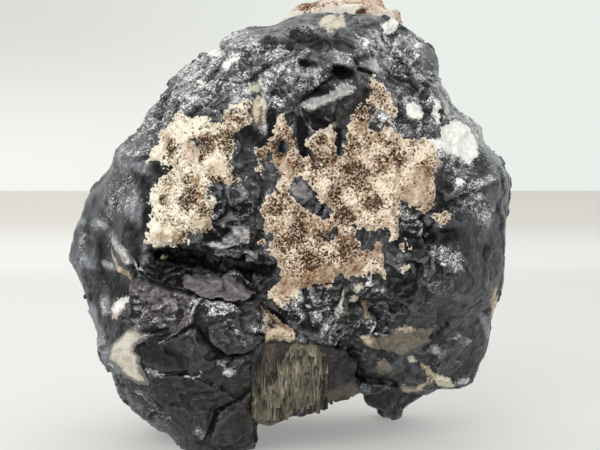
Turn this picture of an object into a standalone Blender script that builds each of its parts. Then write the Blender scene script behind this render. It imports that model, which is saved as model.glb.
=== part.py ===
"""Ilvaite hand specimen: a black, broken lump with porous pale crusts and a band of fibrous columns.

Metres, +Z up. The crusted front faces -Y, +X is to the right seen from the front, and the specimen
stands on z = 0 with the middle of its box over the origin.

Features of the front are laid out on the plane y = 0, as seen from STATION, a point in front of the
stone. A feature so keeps its place and its size in the front view, whatever the relief under it.
"""

import math
from dataclasses import dataclass

import bmesh
import bpy
import numpy as np
from mathutils import Matrix, Vector, noise
from mathutils.bvhtree import BVHTree
from mathutils.geometry import delaunay_2d_cdt

MM = 0.001

# Driving dimensions of the lump
CORE = Vector((0.0, 0.0, 29.3)) * MM  # the point that the outline is drawn round
FRONT_DEPTH = 20.4 * MM
BACK_DEPTH = 19.6 * MM
EDGE_SQUARENESS = 3.3  # 2 is an ellipsoid, and more has a flatter face and a tighter edge
OUTLINE_SCALE = 0.972  # the edge that is seen lies in front of the outline's plane, and so looks larger
STATION = Vector((1.3, -200.0, 41.3)) * MM
TO_ORIGIN = Vector((0.0, 1.44, 0.0)) * MM  # brings the middle of the finished box over the origin

# Meshing
SPHERE_SUBDIVISIONS = 7
VOXEL = 0.62 * MM
ROCK_TRIANGLES = 5600
JOINT_GAP = 0.3 * MM  # between two minerals, so that their solids stay apart

# The lump's outline from the front, clockwise from the top, as (x, z)
OUTLINE = (
    (1.3, 61.0), (7.8, 61.3), (13.6, 61.2), (15.8, 60.2), (18.0, 58.1), (20.2, 56.4), (21.5, 54.4),
    (21.6, 52.1), (22.9, 49.7), (24.9, 47.4), (27.1, 45.1), (28.6, 42.6), (30.7, 40.5), (31.8, 38.0),
    (31.8, 35.1), (31.2, 30.7), (30.9, 26.4), (30.5, 22.8), (29.9, 18.4), (29.0, 14.1), (28.0, 11.5),
    (26.7, 9.3), (24.9, 7.3), (21.2, 6.8), (18.4, 6.5), (14.4, 6.0), (10.9, 5.9), (8.6, 5.5),
    (5.7, 4.6), (2.9, 3.3), (-1.0, 3.0), (-6.0, 2.8), (-12.0, 2.0), (-17.5, 1.4), (-20.4, 2.0),
    (-22.2, 3.3), (-24.5, 5.5), (-26.0, 8.3), (-27.0, 11.0), (-28.1, 13.3), (-28.3, 15.8),
    (-29.1, 17.4), (-29.7, 20.3), (-30.9, 23.1), (-31.9, 26.0), (-31.8, 27.8), (-31.0, 31.0),
    (-30.0, 33.9), (-28.6, 37.3), (-26.7, 39.3), (-24.9, 42.1), (-22.3, 44.7), (-20.2, 47.4),
    (-17.8, 50.8), (-15.4, 53.9), (-12.0, 56.1), (-8.8, 58.0), (-3.0, 59.7),
)


@dataclass(frozen=True)
class Lobe:
    """A knob or foot that grows out of the lump: a rounded block, given by its middle and half sizes."""

    middle: tuple
    half: tuple
    squareness: float = 2.6
    turn: float = 0.0  # degrees about the vertical


LOBES = (
    Lobe((-11.2, -2.0, 8.0), (6.2, 13.4, 10.5), 3.0, turn=8.0),  # the left foot, a ridge from front to back
    Lobe((-15.0, 7.5, 10.0), (6.5, 8.0, 11.0), 2.6, turn=-24.0),
    Lobe((14.6, 0.5, 9.0), (3.5, 7.0, 7.0), 2.3, turn=-10.0),  # the knob, which stays clear of the ground
    Lobe((14.9, 12.2, 8.0), (3.1, 4.4, 9.6), 2.2, turn=15.0),  # the small foot behind the knob
    Lobe((2.0, 8.0, 12.5), (13.0, 9.0, 8.0), 2.6, turn=-8.0),  # the keel that joins the feet
)


@dataclass(frozen=True)
class Plate:
    """A part of the front that stands proud (height above 0) or sunk, with a broken step round it."""

    outline: tuple
    height: float
    step: float


@dataclass(frozen=True)
class Furrow:
    """A groove along a line: it rises over `above` on its upper side and over `below` on its lower."""

    line: tuple
    depth: float
    above: float
    below: float
    ends: float = 2.0


@dataclass(frozen=True)
class Hollow:
    """An oval pit in the front, or a boss where the depth is below 0."""

    middle: tuple
    half: tuple
    depth: float


@dataclass(frozen=True)
class Chip:
    """A flat fracture: what reaches further than `reach` from the core along `towards` is broken off."""

    towards: tuple
    reach: float
    flatness: float = 0.85


LOWER_LEFT_PLATE = Plate(
    (
        (-23.3, 23.5), (-20.4, 22.8), (-16.1, 21.2), (-12.5, 20.3), (-4.2, 19.9), (-4.2, 13.3),
        (-4.4, 6.5), (-5.1, 2.8), (-5.5, -3.0), (-17.5, -3.0), (-19.0, -0.1), (-19.3, 3.2),
        (-20.4, 6.1), (-21.5, 8.3), (-21.9, 10.9), (-22.9, 13.1), (-20.4, 14.1), (-21.6, 15.5),
        (-23.6, 16.7), (-25.4, 18.1), (-23.3, 19.9),
    ),
    height=2.2,
    step=1.0,
)
UPPER_PLATE = Plate(
    (
        (-3.3, 47.1), (-0.1, 47.0), (1.6, 47.7), (5.7, 46.0), (7.8, 47.1), (10.3, 48.9), (11.2, 52.5),
        (10.3, 54.7), (8.6, 56.8), (4.2, 59.0), (-0.1, 59.7), (-3.8, 58.3), (-5.9, 55.4), (-4.2, 51.8),
    ),
    height=1.9,
    step=1.0,
)
LOWER_RIGHT_SLOPE = Plate(
    ((6.0, 17.0), (14.0, 18.5), (24.0, 17.0), (33.0, 18.0), (33.0, -2.0), (6.0, -2.0)),
    height=-2.6,
    step=6.0,
)
BAND_RECESS = Plate(
    ((-4.6, 13.6), (-1.0, 13.2), (4.0, 13.0), (8.6, 12.4), (10.5, 9.0), (9.5, 2.0), (-5.4, 1.0)),
    height=-1.8,
    step=0.9,
)
FACETS = (
    Plate(((19.4, 28.2), (26.0, 29.0), (27.4, 25.1), (23.8, 22.5), (20.2, 23.6)), 0.9, 1.2),
    Plate(((1.3, 20.6), (7.8, 21.7), (7.1, 16.7), (4.5, 13.0), (1.0, 13.5)), 0.9, 1.0),
    Plate(((8.8, 21.0), (15.1, 21.3), (17.3, 18.1), (15.8, 15.2), (9.3, 14.5)), -0.9, 1.2),
    Plate(((23.8, 37.0), (30.3, 38.7), (31.0, 31.9), (26.0, 28.2), (23.0, 31.9)), 0.8, 1.4),
    Plate(((-11.0, 56.4), (-4.2, 58.7), (-4.2, 52.2), (-8.1, 50.7), (-11.5, 52.2)), 0.9, 1.2),
    Plate(((-12.0, 35.5), (-4.2, 36.2), (-4.2, 26.8), (-11.4, 28.2)), -1.0, 1.2),
    Plate(((-24.0, 34.0), (-20.5, 36.0), (-20.8, 27.0), (-25.0, 25.0)), 0.8, 1.2),
)
PLATES = (LOWER_LEFT_PLATE, UPPER_PLATE, LOWER_RIGHT_SLOPE, BAND_RECESS, *FACETS)
FURROWS = (
    # the deep cleft, with a shelf that leads down into it and an overhanging upper side
    Furrow(((-21.0, 26.0), (-16.0, 26.2), (-9.0, 25.2), (-2.6, 23.8)), 6.0, 1.5, 5.2),
    # the groove under the upper plate
    Furrow(((7.6, 52.6), (5.0, 51.2), (1.3, 48.8)), 2.2, 1.0, 1.4),
    # the gap between the centre crust and the lower crust
    Furrow(((-3.8, 19.2), (-1.6, 17.9), (1.4, 15.4)), 2.4, 0.8, 1.0),
    # the groove over the knob
    Furrow(((8.6, 9.8), (12.2, 9.2), (15.5, 7.8), (18.6, 7.6)), 1.8, 1.0, 1.2),
    # cracks of the lower left plate
    Furrow(((-13.8, 16.4), (-11.4, 14.0), (-8.4, 12.0), (-4.6, 12.4)), 1.3, 0.9, 1.3),
    Furrow(((-4.4, 6.6), (-8.8, 5.4), (-11.0, 3.6), (-12.0, 1.0), (-12.6, -2.6)), 1.5, 0.8, 0.8),
    # ledges between the two crusts
    Furrow(((-11.4, 33.6), (-8.0, 32.6), (-4.8, 33.2)), 1.5, 0.8, 1.5),
    Furrow(((-12.4, 30.2), (-9.0, 29.4), (-5.6, 30.6)), 1.4, 0.8, 1.4),
)
HOLLOWS = (
    Hollow((2.0, 57.6), (2.5, 1.3), 2.0),
    Hollow((7.2, 52.8), (2.0, 1.3), 2.4),
    Hollow((2.5, 53.8), (1.9, 0.9), 0.9),
    Hollow((-1.2, 42.2), (1.0, 1.1), 1.2),
    Hollow((16.6, 41.0), (1.4, 1.2), 0.8),
    Hollow((1.2, 35.2), (1.9, 2.0), -1.4),
    Hollow((24.0, 38.5), (8.0, 1.6), 0.7),
    Hollow((25.5, 33.0), (6.5, 1.6), 0.7),
    Hollow((-27.5, 29.0), (1.4, 9.0), 0.8),
    Hollow((-24.0, 26.0), (1.6, 7.0), -0.7),
)
CHIPS = (
    # the back
    Chip((0.45, 0.86, 0.25), 20.2),
    Chip((-0.55, 0.82, 0.15), 20.4),
    Chip((-0.10, 0.80, 0.60), 27.0),
    Chip((0.15, 0.93, -0.33), 19.4),
    Chip((-0.75, 0.55, -0.37), 27.5),
    Chip((0.80, 0.50, -0.32), 28.5),
    Chip((0.66, 0.45, 0.60), 30.0),
    Chip((-0.60, 0.50, 0.62), 29.5),
    # the front: its rims, its sloping shoulders and the lower right
    Chip((-0.78, -0.62, -0.06), 27.6),
    Chip((0.86, -0.50, -0.05), 30.2),
    Chip((-0.55, -0.60, 0.58), 26.6),
    Chip((0.05, -0.55, 0.84), 30.0),
    Chip((0.60, -0.58, 0.55), 28.8),
    Chip((0.46, -0.76, -0.46), 26.2),
    Chip((-0.10, -0.80, -0.60), 26.2),
)

CENTRE_CRUST = (
    (12.0, 52.3), (13.3, 50.3), (14.6, 48.9), (14.4, 47.1), (12.2, 47.1), (11.7, 45.7), (11.2, 43.5),
    (13.3, 43.6), (14.8, 44.4), (15.8, 42.9), (17.5, 42.2), (19.4, 43.1), (21.6, 42.2), (21.6, 39.4),
    (20.3, 38.0), (20.7, 35.1), (20.6, 33.2), (19.3, 32.3), (17.3, 33.5), (15.7, 34.4), (15.8, 30.3),
    (15.2, 28.9), (13.3, 29.7), (11.5, 29.7), (8.8, 30.3), (9.4, 28.1), (11.2, 27.1), (12.9, 27.6),
    (13.6, 25.4), (13.5, 22.5), (11.7, 23.9), (9.7, 22.8), (7.1, 22.8), (4.9, 21.6), (1.3, 21.3),
    (0.1, 19.9), (0.1, 18.6), (-1.9, 19.6), (-3.4, 20.2), (-3.1, 21.2), (-1.6, 22.3), (-1.3, 25.0),
    (-3.0, 26.6), (-4.2, 27.8), (-3.8, 30.7), (-4.2, 32.6), (-3.3, 34.9), (-1.6, 35.1), (-2.3, 36.5),
    (-2.9, 39.4), (-2.9, 43.1), (-1.6, 46.3), (-0.1, 45.2), (0.3, 42.8), (1.3, 40.2), (1.7, 39.3),
    (2.6, 40.2), (2.8, 43.1), (4.5, 44.5), (6.1, 44.8), (6.4, 42.3), (7.0, 40.5), (7.7, 42.8),
    (8.6, 45.4), (10.3, 47.4), (10.9, 50.3),
)
CENTRE_CRUST_WINDOW = (
    (-0.7, 35.0), (1.2, 37.4), (3.0, 36.0), (3.2, 34.4), (5.6, 32.8), (5.0, 31.4), (2.8, 32.4), (1.2, 33.2),
)
LEFT_CRUST = (
    (-17.3, 46.0), (-15.7, 47.6), (-13.5, 46.3), (-11.5, 45.4), (-9.1, 47.1), (-8.0, 48.4),
    (-6.3, 48.2), (-6.2, 46.0), (-6.4, 44.5), (-8.4, 43.9), (-7.7, 41.6), (-8.8, 39.7), (-7.0, 38.0),
    (-7.4, 36.3), (-10.0, 36.8), (-11.7, 35.5), (-12.2, 32.2), (-13.2, 29.8), (-14.6, 29.0),
    (-17.3, 28.8), (-20.2, 28.9), (-20.6, 30.3), (-19.7, 32.6), (-20.0, 35.1), (-19.0, 36.5),
    (-16.8, 37.8), (-16.7, 39.3), (-19.0, 39.0), (-20.9, 39.7), (-20.7, 41.3), (-19.0, 42.1),
    (-19.0, 43.6), (-17.5, 44.5),
)
LOWER_CRUST = (
    (-3.7, 17.6), (-2.6, 16.4), (-0.9, 15.4), (0.9, 14.6), (0.1, 13.9), (-1.6, 13.9), (-3.6, 13.6),
    (-3.7, 15.4),
)
CALCITE_SEAM = (
    (-23.3, 15.8), (-24.3, 14.6), (-26.0, 12.6), (-25.8, 10.6), (-24.5, 8.7), (-22.9, 7.6),
    (-22.3, 9.0), (-22.7, 10.9), (-23.7, 12.8),
)

# The band of columns at the foot of the front
COLUMN_COUNT = 10
COLUMN_PITCH = 1.3
BAND_LEFT = -4.7
BAND_TOP = (13.2, 13.0, 13.3, 13.1, 13.4, 13.0, 12.8, 12.9, 12.4, 12.0)  # of each column, from the left
BAND_FEET = (2.3, 1.5, 2.2, 2.9, 3.4, 3.1, 3.2, 4.1, 4.5, 5.0)
BAND_ROWS = 5
BAND_THICKNESS = 1.9
COLUMN_RELIEF = 0.55
BAND_HANGS_FROM = -10.5  # where the band passes the rock's foot, its back stays in front of this y

# The crust on the top, behind the upper edge, from above as (x, y)
TOP_CRUST = (
    (-1.2, 7.4), (-0.9, 5.2), (1.2, 3.6), (4.0, 2.9), (8.0, 2.6), (12.0, 2.9), (15.2, 3.6), (17.0, 5.6),
    (16.6, 8.2), (14.4, 10.2), (10.4, 11.4), (5.2, 10.8), (1.2, 9.6),
)
TOP_CRUST_HEIGHT = 4.2
TOP_CRUST_DROP = 44.0  # its back stays above this far under the point that its layout is seen from

def smooth(t):
    """0 to 1 with level ends, for t from 0 to 1."""
    t = np.clip(t, 0.0, 1.0)
    return t * t * (3.0 - 2.0 * t)


def laid_out(points):
    """The places of points on the layout plane y = 0, seen from the station, in millimetres (x, z)."""
    station = np.array(STATION)
    scale = station[1] / (station[1] - points[:, 1])
    flat = station + (points - station) * scale[:, None]
    return flat[:, (0, 2)] / MM


def to_segments(points, line, closed):
    """Each point's distance to a line's nearest stretch, its share along the line and its height over it."""
    corners = np.array(line, float)
    ends = np.roll(corners, -1, axis=0) if closed else corners[1:]
    starts = corners if closed else corners[:-1]
    best = np.full(len(points), np.inf)
    share = np.zeros(len(points))
    over = np.zeros(len(points))
    for number, (a, b) in enumerate(zip(starts, ends)):
        along = b - a
        t = np.clip((points - a) @ along / (along @ along), 0.0, 1.0)
        offset = points - (a + t[:, None] * along)
        distance = np.hypot(offset[:, 0], offset[:, 1])
        nearer = distance < best
        best[nearer] = distance[nearer]
        share[nearer] = (number + t[nearer]) / len(starts)
        over[nearer] = offset[nearer, 1]
    return best, share, over


def inside(points, outline):
    """Whether each point lies in the outline."""
    found = np.zeros(len(points), bool)
    corners = np.array(outline, float)
    for a, b in zip(corners, np.roll(corners, -1, axis=0)):
        spans = (a[1] > points[:, 1]) != (b[1] > points[:, 1])
        with np.errstate(divide="ignore", invalid="ignore"):
            crossing = a[0] + (points[:, 1] - a[1]) * (b[0] - a[0]) / (b[1] - a[1])
        found ^= spans & (points[:, 0] < crossing)
    return found


def outline_radius(angles):
    """The outline's distance from the core at each angle, by a smooth closed curve through its points."""
    offsets = np.array(OUTLINE) * MM - np.array((CORE.x, CORE.z))
    at = np.arctan2(offsets[:, 1], offsets[:, 0])
    order = np.argsort(at)
    at, radius = at[order], np.hypot(offsets[:, 0], offsets[:, 1])[order]
    turn = 2.0 * math.pi
    at = np.concatenate([at[-2:] - turn, at, at[:3] + turn])
    radius = np.concatenate([radius[-2:], radius, radius[:3]])
    slope = np.gradient(radius, at)
    k = np.clip(np.searchsorted(at, angles) - 1, 1, len(at) - 3)
    span = at[k + 1] - at[k]
    t = (angles - at[k]) / span
    hermite = (
        (2 * t**3 - 3 * t**2 + 1) * radius[k]
        + (t**3 - 2 * t**2 + t) * span * slope[k]
        + (3 * t**2 - 2 * t**3) * radius[k + 1]
        + (t**3 - t**2) * span * slope[k + 1]
    )
    return hermite * OUTLINE_SCALE


def lump(points):
    """Moves the points of a unit sphere onto the plain lump."""
    x, y, z = points.T
    radius = outline_radius(np.arctan2(z, x))
    depth = np.where(y < 0.0, FRONT_DEPTH, BACK_DEPTH)
    n = EDGE_SQUARENESS
    reach = ((np.hypot(x, z) / radius) ** n + (np.abs(y) / depth) ** n) ** (-1.0 / n)
    return np.array(CORE) + points * reach[:, None]


def relief(points):
    """Presses and raises the front: plates, furrows and hollows, all along Y."""
    at = laid_out(points)
    depth = np.zeros(len(points))
    for plate in PLATES:
        distance = to_segments(at, plate.outline, closed=True)[0]
        signed = np.where(inside(at, plate.outline), distance, -distance)
        depth -= plate.height * smooth(0.5 + signed / plate.step)
    for furrow in FURROWS:
        distance, share, over = to_segments(at, furrow.line, closed=False)
        reach = np.where(over > 0.0, furrow.above, furrow.below)
        length = np.sum(np.hypot(*np.diff(np.array(furrow.line), axis=0).T))
        fade = smooth(share * length / furrow.ends) * smooth((1.0 - share) * length / furrow.ends)
        depth += furrow.depth * smooth(1.0 - distance / reach) * (0.25 + 0.75 * fade)
    for hollow in HOLLOWS:
        away = (at - np.array(hollow.middle)) / np.array(hollow.half)
        depth += hollow.depth * smooth(1.35 - np.hypot(away[:, 0], away[:, 1]))
    faces_front = smooth((-points[:, 1] / MM - 1.0) / 7.0)
    points[:, 1] += depth * MM * faces_front
    return points


def chipped(points):
    """Breaks the flat fractures off the back and the sides."""
    core = np.array(CORE)
    for chip in CHIPS:
        towards = np.array(Vector(chip.towards).normalized())
        beyond = (points - core) @ towards - chip.reach * MM
        points -= np.outer(np.maximum(beyond, 0.0) * chip.flatness, towards)
    return points


def roughened(points):
    """Adds broad lumps and small conchoidal breaks, less at the outline, whose shape is set."""
    core = np.array(CORE)
    outward = points - core
    outward /= np.linalg.norm(outward, axis=1)[:, None]
    off_outline = smooth(np.abs(points[:, 1]) / (9.0 * MM))
    push = np.empty(len(points))
    for i, p in enumerate(points):
        at = Vector(p)
        broad = noise.noise(at / (9.0 * MM))
        broken = noise.voronoi(at / (6.5 * MM))[0][0] - 0.45
        push[i] = (0.8 * broad + 1.5 * broken) * (0.35 + 0.65 * off_outline[i]) * MM
    return points + outward * push[:, None]


def clear_scene():
    """Empties the scene that Blender starts with."""
    for old in list(bpy.data.objects):
        bpy.data.objects.remove(old)


def material(name, colour, roughness):
    """A stone finish."""
    made = bpy.data.materials.new(name)
    made.use_nodes = True
    shader = made.node_tree.nodes["Principled BSDF"]
    shader.inputs["Base Color"].default_value = (*colour, 1.0)
    shader.inputs["Roughness"].default_value = roughness
    shader.inputs["Metallic"].default_value = 0.0
    return made


def add_object(name, bm, finish):
    """A scene object from a bmesh, which it frees."""
    mesh = bpy.data.meshes.new(name)
    bm.to_mesh(mesh)
    bm.free()
    made = bpy.data.objects.new(name, mesh)
    bpy.context.scene.collection.objects.link(made)
    mesh.materials.append(finish)
    return made


def baked(made):
    """Applies an object's modifiers."""
    bpy.context.view_layer.update()
    graph = bpy.context.evaluated_depsgraph_get()
    finish = made.data.materials[0]
    mesh = bpy.data.meshes.new_from_object(made.evaluated_get(graph))
    made.modifiers.clear()
    made.data = mesh
    mesh.materials.clear()
    mesh.materials.append(finish)
    return made


def rounded_block(bm, lobe, subdivisions):
    """Adds a lobe's rounded block to a bmesh."""
    added = bmesh.ops.create_icosphere(bm, subdivisions=subdivisions, radius=1.0)["verts"]
    n = lobe.squareness
    turned = Matrix.Rotation(math.radians(lobe.turn), 3, "Z")
    for vertex in added:
        reach = sum(abs(c) ** n for c in vertex.co) ** (-1.0 / n)
        at = turned @ Vector(h * c * reach for h, c in zip(lobe.half, vertex.co))
        vertex.co = (Vector(lobe.middle) + at) * MM


def largest_body(bm):
    """Deletes every loose body but the one with the most vertices."""
    left = set(bm.verts)
    bodies = []
    while left:
        edge = [left.pop()]
        body = set(edge)
        while edge:
            for link in edge.pop().link_edges:
                for vertex in link.verts:
                    if vertex in left:
                        left.discard(vertex)
                        body.add(vertex)
                        edge.append(vertex)
        bodies.append(body)
    keep = max(bodies, key=len)
    bmesh.ops.delete(bm, geom=[v for v in bm.verts if v not in keep], context="VERTS")


def remeshed(made, voxel, triangles):
    """Joins an object's overlapping bodies into one skin and thins it to about so many triangles."""
    skin = made.modifiers.new("Skin", "REMESH")
    skin.mode = "VOXEL"
    skin.voxel_size = voxel
    baked(made)
    made.modifiers.new("Triangles", "TRIANGULATE")
    baked(made)
    thin = made.modifiers.new("Thin", "DECIMATE")
    thin.ratio = min(1.0, triangles / len(made.data.polygons))
    baked(made)
    bm = bmesh.new()
    bm.from_mesh(made.data)
    largest_body(bm)
    bmesh.ops.recalc_face_normals(bm, faces=bm.faces)
    bm.to_mesh(made.data)
    bm.free()
    return made


def whole_rock(finish):
    """The lump with its lobes and relief, before its feet are cut flat."""
    bm = bmesh.new()
    bmesh.ops.create_icosphere(bm, subdivisions=SPHERE_SUBDIVISIONS, radius=1.0)
    body = len(bm.verts)
    for lobe in LOBES:
        rounded_block(bm, lobe, subdivisions=5)
    points = np.array([v.co for v in bm.verts])
    points[:body] = chipped(lump(points[:body]))
    points = relief(roughened(points))
    for vertex, place in zip(bm.verts, points):
        vertex.co = place
    return remeshed(add_object("ilvaite_mass", bm, finish), VOXEL, ROCK_TRIANGLES)


def stood_flat(made):
    """Cuts what lies under the ground off an object and closes the cuts, which become its feet."""
    bm = bmesh.new()
    bm.from_mesh(made.data)
    whole = list(bm.verts) + list(bm.edges) + list(bm.faces)
    cut = bmesh.ops.bisect_plane(bm, geom=whole, plane_co=(0, 0, 0), plane_no=(0, 0, -1), clear_outer=True)
    rim = [g for g in cut["geom_cut"] if isinstance(g, bmesh.types.BMEdge)]
    bmesh.ops.holes_fill(bm, edges=rim)
    bmesh.ops.triangulate(bm, faces=[f for f in bm.faces if len(f.verts) > 3])
    bmesh.ops.recalc_face_normals(bm, faces=bm.faces)
    bm.to_mesh(made.data)
    bm.free()


class Surface:
    """The rock's skin as lines of sight meet it, from the station or from straight above."""

    def __init__(self, rock, from_above):
        bm = bmesh.new()
        bm.from_mesh(rock.data)
        self.tree = BVHTree.FromBMesh(bm)
        bm.free()
        self.from_above = from_above

    def line_of_sight(self, u, v):
        """Where the line through a layout point, in millimetres, starts, and which way it runs."""
        if self.from_above:
            return Vector((u, v, 100.0)) * MM, Vector((0.0, 0.0, -1.0))
        towards = Vector((u, 0.0, v)) * MM - STATION
        return STATION.copy(), towards.normalized()

    def reach(self, u, v):
        """How far along the line of sight the skin lies, or None where the line misses."""
        return self.tree.ray_cast(*self.line_of_sight(u, v))[3]

    def nearest_reach(self, u, v, around):
        """The shortest reach at and round a layout point, which a crust has to stay in front of."""
        found = [self.reach(u, v)]
        for step in range(8):
            angle = step * math.pi / 4.0
            found.append(self.reach(u + around * math.cos(angle), v + around * math.sin(angle)))
        found = [f for f in found if f is not None]
        return min(found) if found else None

    def place(self, u, v, reach):
        """The point at a reach along the line of sight."""
        start, towards = self.line_of_sight(u, v)
        return start + towards * reach


def stations_along(outline, spacing):
    """The outline's corners with points between them, about the spacing apart."""
    points = []
    for a, b in zip(outline, outline[1:] + outline[:1]):
        a, b = Vector(a), Vector(b)
        steps = max(1, round((b - a).length / spacing))
        points.extend(a.lerp(b, step / steps) for step in range(steps))
    return points


def field_inside(outline, windows, spacing):
    """The points of a triangular grid that lie inside an outline and off its edge, outside its windows."""
    corners = np.array(outline)
    low, high = corners.min(axis=0), corners.max(axis=0)
    rows = np.arange(low[1], high[1], spacing * 0.87)
    columns = np.arange(low[0], high[0], spacing)
    grid = [(x + 0.5 * spacing * (row % 2), y) for row, y in enumerate(rows) for x in columns]
    grid = np.array(grid)
    keep = inside(grid, outline) & (to_segments(grid, outline, closed=True)[0] > 0.55 * spacing)
    for window in windows:
        keep &= ~inside(grid, window)
        keep &= to_segments(grid, window, closed=True)[0] > 0.55 * spacing
    return [Vector(p) for p in grid[keep]]


def triangulated(outline, windows, spacing):
    """Flat points and triangles that fill an outline but not its windows."""
    points = []
    edges = []
    for loop in (outline, *windows):
        rim = stations_along(loop, spacing)
        first = len(points)
        points.extend(rim)
        edges.extend((first + k, first + (k + 1) % len(rim)) for k in range(len(rim)))
    points.extend(field_inside(outline, windows, spacing))
    flat = delaunay_2d_cdt(points, edges, [], 0, 1e-6)
    places = np.array([tuple(p) for p in flat[0]])
    faces = np.array([tuple(f) for f in flat[2]])
    middles = places[faces].mean(axis=1)
    keep = inside(middles, outline)
    for window in windows:
        keep &= ~inside(middles, window)
    return places, faces[keep]


def crust_height(at, outline, windows, height, lumpiness):
    """A crust's thickness over its layout points: thin at its rims and lumpy inside them."""
    edge = to_segments(at, outline, closed=True)[0]
    for window in windows:
        edge = np.minimum(edge, to_segments(at, window, closed=True)[0])
    lumps = np.array([noise.noise(Vector((u, v, 0.0)) * 0.55) for u, v in at])
    return height * (0.45 + 0.55 * smooth(edge / (1.2 * height + 0.6))) * (1.0 + lumpiness * lumps)


def crust(name, surface, outline, finish, windows=(), spacing=1.25, height=0.8, lumpiness=0.35, furthest=250.0):
    """A crust that lies on the rock, with an even gap under it: its back, its front and the rim between."""
    at, faces = triangulated(outline, windows, spacing)
    thickness = crust_height(at, outline, windows, height, lumpiness)
    reaches = [surface.nearest_reach(u, v, 0.8 * spacing) or furthest * MM for u, v in at]
    reaches = [min(r, furthest * MM) - 1.15 * JOINT_GAP for r in reaches]
    bm = bmesh.new()
    back = [bm.verts.new(surface.place(u, v, r)) for (u, v), r in zip(at, reaches)]
    front = [bm.verts.new(surface.place(u, v, r - t * MM)) for (u, v), r, t in zip(at, reaches, thickness)]
    for a, b, c in faces:
        bm.faces.new((back[a], back[b], back[c]))
        bm.faces.new((front[a], front[c], front[b]))
    partner = dict(zip(back, front))
    for edge in [e for e in bm.edges if e.is_boundary and e.verts[0] in partner]:
        a, b = edge.verts
        bm.faces.new((a, b, partner[b], partner[a]))
    bmesh.ops.triangulate(bm, faces=[f for f in bm.faces if len(f.verts) > 3])
    loose = [v for v in bm.verts if not v.link_faces]
    bmesh.ops.delete(bm, geom=loose, context="VERTS")
    bmesh.ops.recalc_face_normals(bm, faces=bm.faces)
    return add_object(name, bm, finish)


def band_grid():
    """The band's layout points, row by row, with how far each stands proud of the valleys."""
    grid = []
    for row in range(BAND_ROWS + 1):
        share = row / BAND_ROWS
        points = []
        for step in range(2 * COLUMN_COUNT + 1):
            sides = (max(0, (step - 1) // 2), min(COLUMN_COUNT - 1, step // 2))
            top = sum(BAND_TOP[k] for k in sides) / 2.0
            foot = sum(BAND_FEET[k] for k in sides) / 2.0
            wander = 0.18 * math.sin(2.1 * step + 3.0 * share)
            u = BAND_LEFT + (0.5 * step) * COLUMN_PITCH + wander
            proud = 1.0 if step % 2 else 0.0
            points.append((u, top + (foot - top) * share, proud))
        grid.append(points)
    return grid


def band(name, surface, finish):
    """The band of upright columns grown side by side: a slab with a scalloped front and a ragged foot."""
    rows = band_grid()
    limit = BAND_HANGS_FROM * MM
    bm = bmesh.new()
    back = []
    front = []
    for row, points in enumerate(rows):
        back.append([])
        front.append([])
        for u, v, proud in points:
            start, towards = surface.line_of_sight(u, v)
            furthest = (limit - start.y) / towards.y
            reach = surface.nearest_reach(u, v, 0.9)
            reach = furthest if reach is None else min(reach, furthest)
            reach -= 1.15 * JOINT_GAP
            taper = 0.72 if row in (0, BAND_ROWS) else 1.0
            thick = (BAND_THICKNESS * taper + COLUMN_RELIEF * (proud - 0.5)) * MM
            back[-1].append(bm.verts.new(start + towards * reach))
            front[-1].append(bm.verts.new(start + towards * (reach - thick)))
    for row in range(BAND_ROWS):
        for k in range(2 * COLUMN_COUNT):
            bm.faces.new((front[row][k], front[row + 1][k], front[row + 1][k + 1], front[row][k + 1]))
            bm.faces.new((back[row][k], back[row][k + 1], back[row + 1][k + 1], back[row + 1][k]))
    rim = [(0, k) for k in range(2 * COLUMN_COUNT)]
    rim += [(row, 2 * COLUMN_COUNT) for row in range(BAND_ROWS)]
    rim += [(BAND_ROWS, k) for k in range(2 * COLUMN_COUNT, 0, -1)]
    rim += [(row, 0) for row in range(BAND_ROWS, 0, -1)]
    for (r0, k0), (r1, k1) in zip(rim, rim[1:] + rim[:1]):
        bm.faces.new((front[r0][k0], front[r1][k1], back[r1][k1], back[r0][k0]))
    bmesh.ops.triangulate(bm, faces=bm.faces)
    bmesh.ops.recalc_face_normals(bm, faces=bm.faces)
    return add_object(name, bm, finish)


def shifted(objects):
    """Moves every mesh so that the origin is under the middle of the specimen's box."""
    for one in objects:
        one.data.transform(Matrix.Translation(TO_ORIGIN))


def main():
    clear_scene()
    black = material("ilvaite", (0.045, 0.045, 0.05), 0.5)
    tan = material("porous_crust", (0.30, 0.22, 0.15), 0.85)
    cream = material("cream_crust", (0.62, 0.52, 0.38), 0.85)
    pink = material("pink_crust", (0.62, 0.48, 0.36), 0.85)
    buff = material("buff_crust", (0.45, 0.35, 0.25), 0.85)
    olive = material("fibrous_olive", (0.12, 0.10, 0.07), 0.6)
    pale = material("pale_seam", (0.52, 0.47, 0.38), 0.6)
    rock = whole_rock(black)
    stood_flat(rock)
    seen = Surface(rock, from_above=False)
    over = Surface(rock, from_above=True)
    shifted((
        rock,
        crust("centre_crust", seen, CENTRE_CRUST, tan, windows=(CENTRE_CRUST_WINDOW,)),
        crust("left_crust", seen, LEFT_CRUST, cream),
        crust("lower_crust", seen, LOWER_CRUST, buff, spacing=1.0),
        crust("calcite_seam", seen, CALCITE_SEAM, pale, height=1.1, lumpiness=0.1),
        crust(
            "top_crust",
            over,
            TOP_CRUST,
            pink,
            spacing=1.5,
            height=TOP_CRUST_HEIGHT,
            lumpiness=0.3,
            furthest=TOP_CRUST_DROP,
        ),
        band("fibrous_band", seen, olive),
    ))


main()
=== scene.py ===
"""Dresses an ilvaite hand specimen: black hackly rock with frost and painted sheen, porous crusts, a pale
seam and fibres.

Lengths are in millimetres until the last step of each piece, which brings them to metres. The front is laid
out on a sheet of squares of 0.145 mm, counted right and down from its upper left corner, and seen from a
station in front of it. A feature so keeps its place in the front view, whatever the relief under it.
"""

import logging
import math
from dataclasses import dataclass, field
from enum import Enum
from typing import Optional, Sequence

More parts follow.
